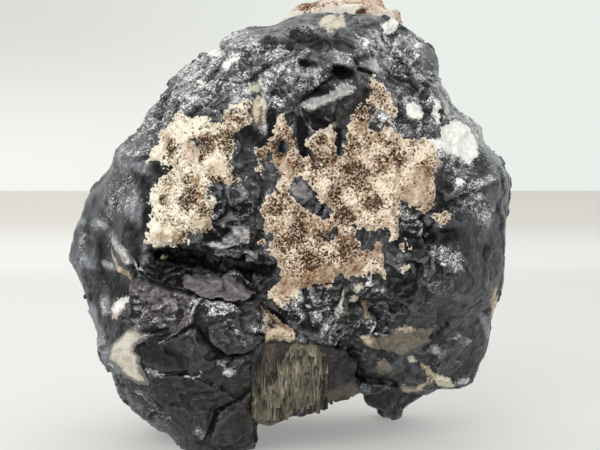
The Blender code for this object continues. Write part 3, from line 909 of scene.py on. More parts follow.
@dataclass(frozen=True)
class FibreFinish:
    """Silky olive-tan fibres, streaked along their length."""

    dark: Colour = (0.034, 0.027, 0.023)
    olive: Colour = (0.190, 0.166, 0.120)
    pale: Colour = (0.38, 0.345, 0.265)
    black: Colour = (0.010, 0.010, 0.011)
    grey: Colour = (0.062, 0.062, 0.067)
    brown: Colour = (0.145, 0.115, 0.090)
    streaks: Grain = Grain(0.42, 3.0, 7.0)
    patches: Grain = Grain(1.5, 3.0, 1.8)
    relief_rise: float = 0.12

    def material(self, shared: SharedGroups) -> Material:
        """Builds the finish."""
        made, graph, shader = new_material("fibrous_olive", 0.55, 0.35)
        place = graph.place()
        height = graph.group(shared.hackle, place=place).outputs["Height"]
        streaks = graph.noise(place, self.streaks)
        patchy = graph.noise(place, self.patches)
        shade = graph.attribute("shade")
        tone = graph.blend((streaks, 0.60), (patchy, 0.70), (shade, -1.0), (1.0, -0.06))
        colour = graph.mix(graph.step(tone, 0.10, 0.60), self.dark, self.olive)
        colour = graph.mix(graph.step(tone, 0.55, 1.10), colour, self.pale)
        rocky = graph.step(shade, 0.60, 1.30)
        plain = graph.step(graph.blend((height, 0.6), (patchy, 0.4)), 0.2, 0.9)
        colour = graph.mix(rocky, colour, graph.mix(plain, self.black, self.grey))
        rusty = graph.blend((graph.attribute("rusty"), 1.0), (height, 0.6), (1.0, -0.3))
        colour = graph.mix(graph.step(rusty, 0.2, 1.0), colour, self.brown)
        fibrous_relief = graph.shaded((0.6, 0.6, 0.6), streaks)
        rocky_relief = graph.shaded((1.5, 1.5, 1.5), height)
        relief = graph.mix(rocky, fibrous_relief, rocky_relief)
        normal = graph.bump(relief, self.relief_rise, 0.8).outputs[0]
        graph.fill(shader, {"Base Color": colour, "Normal": normal})
        return made


@dataclass(frozen=True)
class SeamFinish:
    """Smooth waxy calcite with faint cloudy shades, and a grey margin painted as shade round its bulge."""

    pale: Colour = (0.70, 0.665, 0.58)
    deep: Colour = (0.42, 0.365, 0.275)
    # painted shade round the seam's bulge
    margin: Colour = (0.16, 0.16, 0.16)
    clouds: Grain = Grain(1.6, 4.0)
    ripples: Grain = Grain(0.5, 3.0)
    relief_rise: float = 0.08

    def material(self) -> Material:
        """Builds the finish."""
        made, graph, shader = new_material("waxy_seam", 0.5, 0.5)
        place = graph.place()
        clouds = graph.noise(place, self.clouds)
        light = graph.attribute("light")
        tone = graph.blend((clouds, 0.6), (light, 0.8))
        colour = graph.mix(graph.step(tone, 0.2, 1.1), self.deep, self.pale)
        inner = graph.blend((light, 1.0), (clouds, 0.3), (1.0, -0.15))
        # Painted shade: the margin goes grey
        colour = graph.mix(graph.step(inner, -0.10, 0.40), self.margin, colour)
        normal = graph.bump(graph.noise(place, self.ripples), self.relief_rise, 0.5).outputs[0]
        graph.fill(shader, {"Base Color": colour, "Normal": normal})
        return made


# ------------ The rock ------------


@dataclass(frozen=True)
class Ledge:
    """A part of the front that stands proud, or is sunk below 0, with a broken step round it.

    Heights are in millimetres, and the step and its raggedness in layout units. The tilt is how much
    further it stands out for each 10 layout units to the right and down.
    """

    outline: Outline
    height: float
    step: float = 4.0
    ragged: float = 3.0
    tilt: tuple[float, float] = (0.0, 0.0)


@dataclass(frozen=True)
class Crack:
    """A groove along a line, or a ridge where its depth is below 0.

    Its width is in layout units and its depth in millimetres.
    """

    line: Outline
    width: float
    depth: float
    ragged: float = 2.0


@dataclass(frozen=True)
class Pit:
    """An oval hollow, or a boss where its depth is below 0.

    Its middle and its half widths are in layout units, and its depth in millimetres.
    """

    middle: tuple[float, float]
    half: tuple[float, float]
    depth: float


@dataclass(frozen=True)
class Zone:
    """A part of the front whose breaks are rougher or smoother, and more or less hackly, than elsewhere."""

    outline: Outline
    roughness: float
    hackle: float
    soft: float = 14.0  # the width of its edge, in layout units


# ------------ The rock's features, on the layout ------------

LEDGES = (
    # The open cleft, the plate under it and the chip over it
    Ledge(((150, 251), (165, 249), (200, 252), (240, 260), (262, 262), (277, 265), (273, 278), (256, 277),
           (238, 272), (220, 270), (200, 266), (178, 264), (158, 262)), -1.8, 3.5, 3.5),
    Ledge(((182, 272), (197, 269), (218, 272), (233, 278), (250, 287), (253, 294), (243, 299), (217, 297),
           (200, 294), (182, 286)), 0.9, 2.0, 2.5, (0.0, 0.75)),
    Ledge(((231, 224), (249, 223), (251, 236), (250, 243), (231, 246), (224, 251), (212, 249), (203, 243),
           (221, 238), (229, 233)), 0.5, 2.0, 2.0, (0.0, 0.60)),
    # The dark pocket near the top, the hollow beside it and its lip
    Ledge(((333, 66), (345, 66), (355, 74), (350, 80), (340, 80), (332, 74)), -1.8, 2.0, 1.5),
    Ledge(((358, 68), (371, 73), (370, 77), (359, 73)), -0.8, 1.5, 1.0),
    Ledge(((335, 58), (342, 55), (352, 60), (358, 68), (350, 70), (339, 65)), 0.35, 2.0, 1.0, (0.2, 0.2)),
    # Hollows and swells of the upper edge
    Ledge(((288, 32), (300, 29), (316, 36), (331, 47), (316, 50), (296, 44)), -0.8, 6.0, 7.0),
    Ledge(((215, 46), (245, 34), (290, 26), (330, 30), (334, 42), (300, 40), (262, 46),
           (240, 50)), 0.5, 3.0, 4.0, (0.0, 0.15)),
    Ledge(((176, 68), (206, 58), (222, 66), (212, 84), (186, 88)), 0.45, 4.0, 4.0, (0.0, 0.2)),
    Ledge(((250, 62), (284, 60), (298, 76), (290, 90), (262, 92)), 0.5, 4.0, 4.0, (0.0, 0.2)),
    Ledge(((269, 86), (282, 82), (298, 92), (300, 107), (284, 113), (270, 106)), -0.5, 4.0, 3.0),
    # The long splinter under the pocket
    Ledge(((303, 107), (313, 99), (335, 90), (350, 85), (348, 94), (330, 103),
           (312, 109)), 0.5, 4.0, 3.0, (0.0, 0.5)),
    # Gaps between the fingers of the centre crust
    Ledge(((296, 117), (308, 117), (309, 135), (304, 164), (298, 150)), -0.6, 2.0, 1.5),
    Ledge(((300, 111), (330, 110), (337, 122), (326, 128), (312, 130), (305, 122)), -0.5, 2.0, 1.5),
    Ledge(((334, 125), (341, 130), (339, 158), (335, 140)), -0.6, 2.0, 1.5),
    Ledge(((265, 110), (275, 110), (275, 137), (268, 138)), -0.5, 2.0, 1.5),
    # Chips in the centre crust's window
    Ledge(((286, 181), (300, 177), (312, 186), (313, 196), (300, 207),
           (288, 196)), 0.5, 2.0, 1.5, (0.0, 0.35)),
    Ledge(((302, 208), (314, 202), (331, 211), (327, 220), (312, 215)), 0.2, 2.0, 1.5, (-0.2, 0.3)),
    # Hollows right of the fibres and over the lower crust
    Ledge(((352, 374), (372, 378), (396, 383), (398, 388), (374, 386), (354, 381)), -1.4, 2.5, 2.0),
    Ledge(((266, 309), (280, 315), (292, 326), (290, 331), (276, 324), (266, 315)), -1.4, 2.5, 2.0),
    # Faces of the block at the lower left
    Ledge(((128, 278), (152, 281), (180, 292), (202, 297), (196, 308), (192, 322), (170, 334), (146, 336),
           (131, 324), (127, 310), (130, 294)), 1.0, 2.0, 3.0, (0.0, 0.22)),
    Ledge(((134, 349), (150, 344), (176, 336), (196, 327), (206, 342), (216, 354), (214, 368), (196, 372),
           (164, 371), (142, 366), (136, 358)), 0.7, 2.0, 3.0, (0.0, 0.10)),
    Ledge(((205, 326), (232, 318), (262, 312), (262, 350), (246, 354), (228, 355),
           (213, 346)), 0.8, 2.0, 2.5, (0.0, 0.25)),
    # The left foot's two plates
    Ledge(((139, 374), (164, 377), (200, 378), (224, 392), (238, 401), (216, 411), (212, 424), (204, 443),
           (186, 440), (170, 424), (158, 405), (146, 388)), 0.75, 2.2, 3.0, (0.0, 0.08)),
    Ledge(((240, 402), (256, 391), (256, 448), (208, 448), (214, 424),
           (219, 412)), 0.55, 2.0, 2.0, (-0.1, 0.0)),
    # The knob's chip, and the shelf over the overhang
    Ledge(((402, 368), (412, 365), (424, 368), (427, 376), (420, 383),
           (404, 382)), 0.5, 2.0, 1.0, (0.0, 0.3)),
    Ledge(((360, 337), (371, 333), (395, 335), (401, 328), (415, 327), (437, 331), (430, 340), (414, 346),
           (400, 355), (385, 352), (370, 348)), 0.45, 2.0, 1.5, (0.0, 0.2)),
    # Ridge, hollow and swells of the right side
    Ledge(((440, 190), (466, 182), (505, 168), (506, 176), (470, 192),
           (444, 200)), 0.5, 4.0, 3.0, (0.0, 0.25)),
    Ledge(((392, 232), (420, 226), (452, 230), (448, 246), (410, 252), (396, 246)), -0.5, 5.0, 5.0),
    Ledge(((396, 210), (410, 208), (420, 216), (416, 232), (402, 232)), 0.3, 3.0, 2.0, (0.1, 0.3)),
    Ledge(((436, 250), (462, 250), (466, 272), (444, 276)), 0.3, 4.0, 4.0, (0.0, 0.3)),
)
CRACKS = (
    # Ridges: one down to the cleft, and one along the block's upper edge
    Crack(((112, 240), (120, 248), (129, 259), (142, 271)), 2.6, -0.55, 0.5),
    Crack(((142, 272), (160, 287), (181, 294), (198, 297)), 2.2, -0.40, 0.5),
    # Grooves of the block: its upper edge, its middle and its foot
    Crack(((132, 269), (142, 274), (152, 282), (173, 290), (195, 295), (215, 299),
           (252, 306)), 1.8, 0.8, 1.0),
    Crack(((194, 325), (206, 340), (214, 348), (228, 356), (246, 354), (258, 348)), 2.2, 0.9, 1.0),
    Crack(((256, 388), (238, 400), (225, 405), (215, 411), (213, 420), (208, 432),
           (203, 443)), 1.2, 0.5, 1.4),
    # Grooves of the upper half
    Crack(((333, 78), (322, 86), (311, 95), (300, 102)), 2.6, 0.8, 1.5),
    Crack(((212, 78), (240, 84), (262, 78), (290, 84)), 2.4, 0.4),
    # Fine breaks of the block, under the centre crust and on the right side
    Crack(((139, 328), (152, 332), (169, 327)), 2.0, 0.7, 1.0),
    Crack(((172, 373), (198, 379), (224, 392)), 1.5, 0.5, 1.0),
    Crack(((262, 300), (266, 322), (260, 345)), 1.8, 0.6, 1.0),
    Crack(((345, 283), (337, 303), (325, 342)), 1.8, 0.4, 1.0),
    Crack(((400, 236), (425, 238), (452, 230)), 3.0, 0.4, 3.0),
)
PITS = (
    Pit((305, 65), (11, 4), 1.0),
    Pit((308, 73), (13, 4), -0.8),
    Pit((183, 90), (15, 6), 0.7),
    Pit((206, 98), (12, 7), 0.6),
    Pit((228, 75), (10, 5), 0.6),
    Pit((263, 66), (9, 6), 0.6),
    Pit((250, 71), (5, 4), -0.5),
    Pit((276, 96), (12, 10), 0.35),
    Pit((345, 46), (14, 7), 0.5),
    Pit((372, 88), (9, 6), 0.6),
    Pit((402, 74), (13, 9), 0.5),
    Pit((424, 92), (10, 12), 0.4),
    Pit((389, 27), (7, 5), -0.3),
    Pit((162, 258), (5, 4), -1.9),
    Pit((229, 373), (6, 4), -0.35),
    Pit((382, 368), (8, 6), -0.4),
    Pit((437, 351), (5, 5), -0.4),
    Pit((257, 112), (7, 17), -0.5),
)
ZONES = (
    Zone(((60, 175), (110, 150), (140, 165), (150, 245), (130, 262), (130, 300), (108, 345),
          (60, 300)), 0.35, 0.05),
    Zone(((108, 345), (135, 385), (160, 420), (175, 460), (120, 460), (80, 340)), 0.6, 0.3),
    Zone(((446, 84), (470, 108), (478, 150), (480, 240), (455, 300), (450, 400), (525, 370),
          (525, 60)), 0.35, 0.05),
    Zone(((222, 38), (300, 10), (400, 12), (445, 70), (420, 60), (390, 32), (300, 28),
          (240, 44)), 0.40, 0.15),
    Zone(((210, 183), (262, 168), (270, 200), (262, 262), (200, 250)), 1.25, 1.0),
    Zone(((126, 272), (262, 296), (262, 372), (130, 372)), 0.42, 0.60),
    Zone(((139, 374), (260, 372), (258, 452), (170, 452)), 0.7, 0.35),
    Zone(((285, 180), (312, 176), (332, 212), (300, 215)), 0.8, 0.7, 6.0),
    Zone(((280, 285), (395, 285), (395, 345), (290, 345)), 1.0, 0.9),
    Zone(((395, 205), (452, 188), (440, 320), (395, 320)), 0.9, 0.55),
    Zone(((446, 215), (520, 190), (520, 330), (480, 400), (400, 420), (366, 424), (366, 350),
          (430, 300)), 0.55, 0.05),
    Zone(((128, 326), (262, 340), (262, 452), (170, 452)), 0.55, 0.25),
    Zone(((366, 392), (420, 392), (410, 425), (370, 425)), 0.45, 0.02, 8.0),
    Zone(((436, 78), (452, 90), (478, 120), (506, 152), (494, 162), (462, 130),
          (440, 102)), 0.30, 0.10, 6.0),
)

FAR = 20.0  # depths past this aren't told apart
VEIN_HALF_WIDTH = 0.80

# The small mineral patches, and the painted highlights and lit faces, by the names under which the skin
# stores them
PATCHES: dict[str, tuple[Outline, ...]] = {
    "cream": (
        ((440, 128), (452, 122), (466, 125), (472, 134), (476, 145), (475, 158), (467, 166), (459, 159),
         (449, 153), (441, 146)),
        ((423, 140), (435, 138), (444, 143), (447, 149), (436, 149), (426, 146)),
        ((404, 106), (412, 103), (421, 105), (423, 112), (420, 120), (411, 120), (405, 116)),
        ((430, 103), (434, 103), (439, 113), (441, 124), (437, 125), (432, 114)),
        ((381, 25), (387, 21), (394, 22), (397, 27), (393, 33), (384, 33)),
        ((208, 53), (214, 47), (219, 48), (223, 54), (217, 57), (210, 57)),
        ((221, 65), (227, 59), (239, 56), (241, 62), (230, 68), (223, 68)),
        ((114, 303), (118, 298), (127, 296), (129, 303), (122, 307), (117, 313), (113, 311)),
        ((413, 44), (418, 45), (417, 49), (413, 49)),
        ((413, 54), (418, 56), (417, 60), (413, 58)),
        ((363, 42), (368, 40), (369, 45), (364, 46)),
        ((199, 83), (206, 81), (209, 85), (202, 88)),
        ((388, 112), (395, 110), (396, 117), (389, 119)),
        ((452, 183), (459, 181), (461, 185), (454, 187)),
    ),
    "tan": (
        ((252, 101), (257, 97), (260, 110), (257, 124), (252, 116)),
        ((360, 337), (368, 335), (374, 340), (371, 347), (364, 345)),
        ((493, 317), (494, 296), (498, 284), (499, 296), (496, 316)),
        ((157, 257), (163, 253), (168, 258), (163, 262)),
        ((114, 254), (117, 259), (121, 266), (126, 269), (129, 277), (124, 276), (118, 270)),
        ((363, 304), (367, 303), (369, 312), (366, 317), (362, 312)),
        ((383, 384), (388, 382), (393, 386), (389, 388)),
        ((421, 364), (426, 366), (434, 372), (441, 376), (436, 381), (428, 376)),
        ((399, 383), (406, 387), (415, 388), (424, 383), (432, 378), (434, 381), (420, 391), (404, 391)),
        ((397, 330), (406, 327), (416, 328), (417, 331), (404, 333)),
    ),
    "ivory": (
        ((318, 25), (324, 19), (333, 17), (343, 17), (346, 28), (340, 30), (333, 35), (325, 31)),
        ((113, 306), (121, 307), (118, 319), (113, 319), (111, 312)),
        ((250, 85), (256, 83), (260, 87), (256, 92), (250, 90)),
        ((258, 97), (264, 100), (266, 108), (265, 126), (262, 128), (262, 112)),
        ((432, 374), (441, 374), (449, 377), (455, 387), (447, 389), (438, 385)),
        ((409, 359), (414, 358), (419, 363), (415, 366), (410, 364)),
        ((353, 284), (363, 283), (364, 289), (354, 292)),
        ((350, 297), (358, 296), (359, 302), (350, 303)),
    ),
    "glassy": (
        ((360, 337), (370, 335), (378, 339), (391, 337), (394, 331), (415, 328), (437, 331), (427, 343),
         (409, 349), (399, 356), (387, 353), (377, 349), (366, 347)),
        ((256, 98), (264, 100), (266, 118), (262, 129), (256, 126)),
        ((375, 364), (387, 363), (391, 370), (384, 376), (377, 372)),
        ((348, 283), (351, 283), (345, 309), (336, 330), (334, 328), (341, 308)),
        ((346, 386), (358, 384), (363, 390), (356, 397), (346, 397)),
    ),
    # Painted highlight on lit faces, lips and ridges
    "painted_highlight": (
        ((222, 373), (225, 370), (230, 368), (234, 370), (236, 373), (234, 377), (229, 378), (224, 377)),
        ((231, 225), (249, 224), (250, 236), (249, 243), (232, 245), (224, 250), (212, 248), (205, 244),
         (221, 239), (229, 233)),
        ((296, 70), (303, 74), (310, 74), (320, 67), (321, 71), (314, 77), (306, 79), (298, 76)),
        ((366, 62), (378, 60), (386, 66), (382, 73), (372, 73)),
        ((365, 138), (378, 134), (380, 143), (368, 148), (362, 146)),
        ((304, 105), (317, 98), (334, 91), (347, 85), (353, 88), (346, 96), (332, 101), (315, 107)),
        ((104, 263), (110, 263), (113, 268), (107, 269)),
        ((109, 238), (113, 237), (123, 248), (131, 259), (142, 269), (140, 272), (128, 262), (117, 251)),
        ((97, 221), (103, 222), (103, 227), (98, 226)),
    ),
    # Painted light on faces lit from above, such as the shelf under the cleft
    "painted_lit_face": (
        ((184, 274), (197, 271), (207, 270), (224, 275), (238, 283), (251, 290), (251, 296), (232, 298),
         (218, 296), (200, 294), (184, 286)),
        ((370, 58), (378, 56), (383, 62), (380, 71), (371, 71)),
        ((214, 226), (222, 218), (236, 212), (238, 217), (226, 224)),
        ((290, 188), (300, 182), (309, 188), (304, 197), (294, 196)),
        ((377, 362), (386, 360), (392, 368), (386, 375), (377, 373)),
        ((419, 331), (437, 330), (430, 340), (416, 341)),
    ),
}
VEINS: tuple[Outline, ...] = (
    ((300, 110), (303, 117), (307, 124), (313, 131)),
    ((325, 117), (332, 122), (337, 130), (335, 140)),
    ((112, 243), (120, 250), (129, 259), (142, 271)),
    ((114, 244), (122, 250)),
    ((110, 249), (116, 262), (121, 271), (128, 278)),
    ((200, 299), (193, 309), (190, 321), (176, 333), (158, 344)),
    ((345, 290), (338, 306), (331, 326), (325, 342)),
    ((142, 370), (152, 374), (163, 376)),
    ((184, 378), (194, 378), (201, 375), (200, 370)),
    ((256, 148), (258, 164), (262, 170), (265, 164), (264, 148)),
    ((268, 125), (262, 134), (255, 131)),
    ((262, 307), (264, 318), (263, 330)),
    ((255, 401), (256, 416), (254, 431)),
    ((363, 44), (374, 37), (380, 45), (386, 51)),
    ((447, 340), (458, 337), (468, 344)),
    ((300, 110), (313, 101), (335, 95), (350, 86)),
)

# The lower left block, whose rock is browner, and the part of it that frost spares
BLOCK = ((127, 276), (182, 288), (262, 300), (266, 360), (258, 460), (190, 460), (150, 405), (126, 330))
CALM = ((134, 342), (200, 336), (262, 352), (262, 452), (190, 452), (150, 405))

# Where brown dust lies on the rock
DUSTY = blots(
    (18, 0.72, (140, 302), (166, 308), (188, 304)), (8, 0.35, (134, 284), (146, 290)),
    (10, 0.30, (212, 346), (240, 338), (254, 320)), (8, 0.30, (172, 322), (186, 316)),
    (9, 0.28, (218, 196), (240, 190), (262, 178)), (10, 0.22, (292, 36), (316, 44), (338, 54)),
    (5, 0.40, (132, 388), (152, 412)), (5, 0.45, (246, 148), (250, 164)),
    (5, 0.45, (252, 232), (258, 252)), (4, 0.50, (232, 246), (256, 256)),
)
# Where a soft grey sheen is painted on the black, mostly along glossy rims
PAINTED_SHEEN = blots(
    (9, 0.60, (76, 205), (74, 250), (80, 290)), (4, 1.10, (77, 218), (84, 221)),
    (4, 1.20, (98, 222), (104, 226)), (4, 1.00, (114, 238), (122, 250)), (5, 0.80, (84, 256), (92, 266)),
    (6, 0.75, (122, 196), (128, 208)), (6, 0.80, (86, 190), (92, 176)),
    (6, 0.55, (92, 200), (96, 230), (92, 262)), (4, 0.95, (104, 263), (112, 268)),
    (4, 0.90, (143, 246), (145, 262)), (3, 0.90, (126, 252), (134, 262)),
    (5, 0.85, (104, 298), (106, 312)), (5, 0.80, (91, 306), (94, 322)),
    (7, 0.80, (98, 330), (104, 350), (114, 372)), (6, 0.50, (124, 392), (146, 420), (172, 442)),
    (9, 0.75, (108, 146), (130, 158), (146, 168)), (8, 0.70, (132, 190), (138, 222)),
    (12, 0.60, (110, 170), (96, 200)), (10, 0.60, (140, 140), (124, 165)),
    (12, 0.50, (235, 40), (300, 24), (380, 26)), (10, 0.55, (408, 40), (436, 70)),
    (8, 0.85, (370, 64), (384, 68)), (7, 0.60, (336, 58), (350, 64)), (9, 0.50, (288, 60), (330, 54)),
    (7, 0.60, (440, 100), (480, 146), (506, 176)), (9, 0.55, (486, 200), (506, 190)),
    (14, 0.30, (470, 290), (490, 240)), (12, 0.20, (458, 330), (462, 370)),
    (4, 0.85, (484, 318), (489, 336)), (9, 1.15, (440, 90), (462, 114), (482, 138), (499, 158)),
    (5, 0.75, (434, 350), (442, 352)), (6, 0.80, (376, 286), (384, 292)),
    (6, 0.60, (196, 430), (204, 438)), (9, 0.62, (290, 185), (308, 196)),
    (11, 0.62, (214, 196), (250, 190)), (5, 0.90, (220, 252), (254, 256)),
)
# Where whitish frost lies, and where a sheen is painted on the black
FROST_AND_SHEEN = blots(
    (22, 0.84, (240, 46), (212, 66), (188, 92)), (15, 0.72, (172, 104), (152, 128), (136, 150)),
    (9, 0.50, (132, 150), (120, 185), (108, 215)), (9, 0.50, (112, 152), (128, 160), (146, 168)),
    (9, 0.50, (128, 196), (134, 216)), (14, 0.80, (232, 92), (246, 84), (256, 94)),
    (5, 0.85, (262, 122), (264, 132)), (9, 0.50, (290, 62), (325, 52), (342, 58)),
    (9, 0.42, (235, 40), (300, 27), (355, 24)), (6, 0.90, (305, 106), (330, 98), (350, 88)),
    (9, 0.80, (392, 40), (408, 46)), (13, 0.72, (366, 44), (384, 40), (412, 46)),
    (9, 0.66, (384, 56), (416, 58)), (12, 0.45, (362, 64), (390, 82), (420, 84)),
    (8, 1.02, (440, 90), (462, 114), (486, 142)), (12, 0.74, (424, 146), (446, 146), (462, 168)),
    (4, 0.75, (432, 66), (440, 84)), (6, 1.00, (443, 99), (448, 118)), (7, 0.80, (436, 152), (442, 170)),
    (8, 0.55, (480, 150), (498, 172)), (7, 0.62, (452, 183), (470, 178)),
    (5, 0.66, (466, 190), (504, 172)), (12, 0.70, (468, 200), (486, 216)),
    (10, 0.68, (438, 252), (458, 264)), (9, 0.42, (430, 284), (448, 292)),
    (9, 0.50, (398, 214), (424, 232)), (18, 0.54, (300, 300), (328, 314)),
    (7, 0.80, (372, 284), (380, 292)), (6, 0.60, (366, 320), (374, 330)),
    (8, 0.58, (204, 303), (218, 310), (230, 305)), (5, 0.74, (212, 312), (226, 318)),
    (5, 0.66, (254, 326), (262, 328)), (4, 0.84, (143, 371), (162, 375)),
    (5, 0.52, (218, 364), (228, 366), (242, 360)), (5, 0.70, (138, 326), (150, 338)),
    (14, 0.30, (140, 312), (166, 310), (190, 302)), (12, 0.86, (254, 92), (268, 74), (290, 66)),
    (10, 0.60, (282, 76), (300, 84), (320, 78)), (5, 0.80, (276, 98), (280, 106)),
    (6, 0.62, (310, 78), (330, 66), (348, 60)), (9, 0.62, (262, 52), (290, 54)),
    (10, 0.55, (230, 108), (205, 104), (190, 98)), (10, 0.45, (118, 205), (130, 190), (140, 205)),
    (10, 0.45, (270, 106), (290, 90)), (8, 0.32, (232, 330), (240, 345)),
    (5, 0.60, (196, 432), (204, 436)), (8, 0.45, (232, 278), (248, 290)),
    (5, 0.62, (218, 253), (250, 256)), (12, 0.36, (214, 226), (225, 216), (245, 205)),
    (5, 0.62, (84, 234), (83, 262)), (8, 0.50, (100, 226), (112, 242)), (3, 0.70, (143, 246), (145, 262)),
    (4, 0.74, (104, 300), (106, 312)), (4, 0.62, (91, 310), (93, 322)),
    (5, 0.62, (100, 332), (106, 352), (112, 366)), (6, 0.45, (140, 394), (156, 414), (172, 430)),
    (5, 0.72, (436, 350), (438, 353)), (5, 0.56, (458, 338), (468, 342)),
    (4, 0.80, (458, 384), (468, 382)), (3, 0.62, (486, 320), (488, 336)),
    (14, 0.62, (384, 98), (410, 98), (436, 96)), (12, 0.58, (392, 66), (420, 74), (432, 92)),
    (9, 0.66, (404, 126), (420, 130), (434, 122)), (9, 0.72, (378, 118), (400, 128)),
    (8, 0.70, (462, 118), (474, 150)),
)
# Where shade is painted dark into hollows, clefts and under overhangs
PAINTED_SHADE = blots(
    (5, 0.42, (150, 246), (176, 248), (204, 251)), (5, 0.70, (208, 238), (224, 232), (230, 224)),
    (6, 0.45, (254, 262), (268, 278), (272, 296)),
    (2.5, 0.75, (131, 298), (133, 320), (147, 338), (134, 350), (139, 366), (148, 386)),
    (5, 0.45, (232, 205), (256, 202)), (4, 0.50, (214, 222), (226, 216)),
    (6, 0.50, (100, 236), (104, 254)), (7, 0.55, (132, 226), (136, 250)),
    (9, 0.45, (106, 276), (120, 292)), (6, 0.35, (262, 262), (276, 268)),
    (7, 0.45, (292, 35), (306, 40), (324, 46)), (4, 0.60, (300, 63), (312, 64)),
    (6, 0.94, (337, 70), (350, 75)), (4, 0.80, (332, 80), (316, 92), (302, 99)),
    (3, 0.85, (359, 70), (370, 75)), (6, 0.80, (303, 122), (304, 158)), (4, 0.25, (308, 104), (346, 89)),
    (7, 0.70, (310, 118), (328, 122)), (4, 0.85, (338, 130), (337, 154)),
    (5, 0.75, (270, 112), (271, 136)), (8, 0.70, (245, 132), (268, 142)),
    (5, 0.92, (268, 311), (290, 327)), (3, 0.80, (144, 329), (168, 330)),
    (9, 0.66, (396, 240), (420, 244), (452, 234)), (5, 0.40, (396, 104), (400, 118), (412, 128)),
    (6, 0.30, (410, 90), (430, 94)), (12, 0.55, (392, 286), (418, 292)),
    (5, 0.80, (336, 356), (352, 366), (368, 376), (396, 385)), (5, 0.70, (152, 168), (172, 168)),
    (5, 0.60, (144, 178), (150, 195), (146, 228)), (4, 0.50, (180, 246), (204, 247)),
    (4, 0.60, (196, 328), (212, 350), (230, 358)), (10, 0.45, (140, 352), (180, 362)),
    (7, 0.40, (222, 206), (262, 214)), (8, 0.55, (266, 348), (286, 352)),
    (1.5, 0.80, (256, 388), (238, 400), (225, 405), (215, 411), (213, 420), (204, 441)),
    (2.5, 0.75, (150, 281), (173, 290), (198, 296)),
)


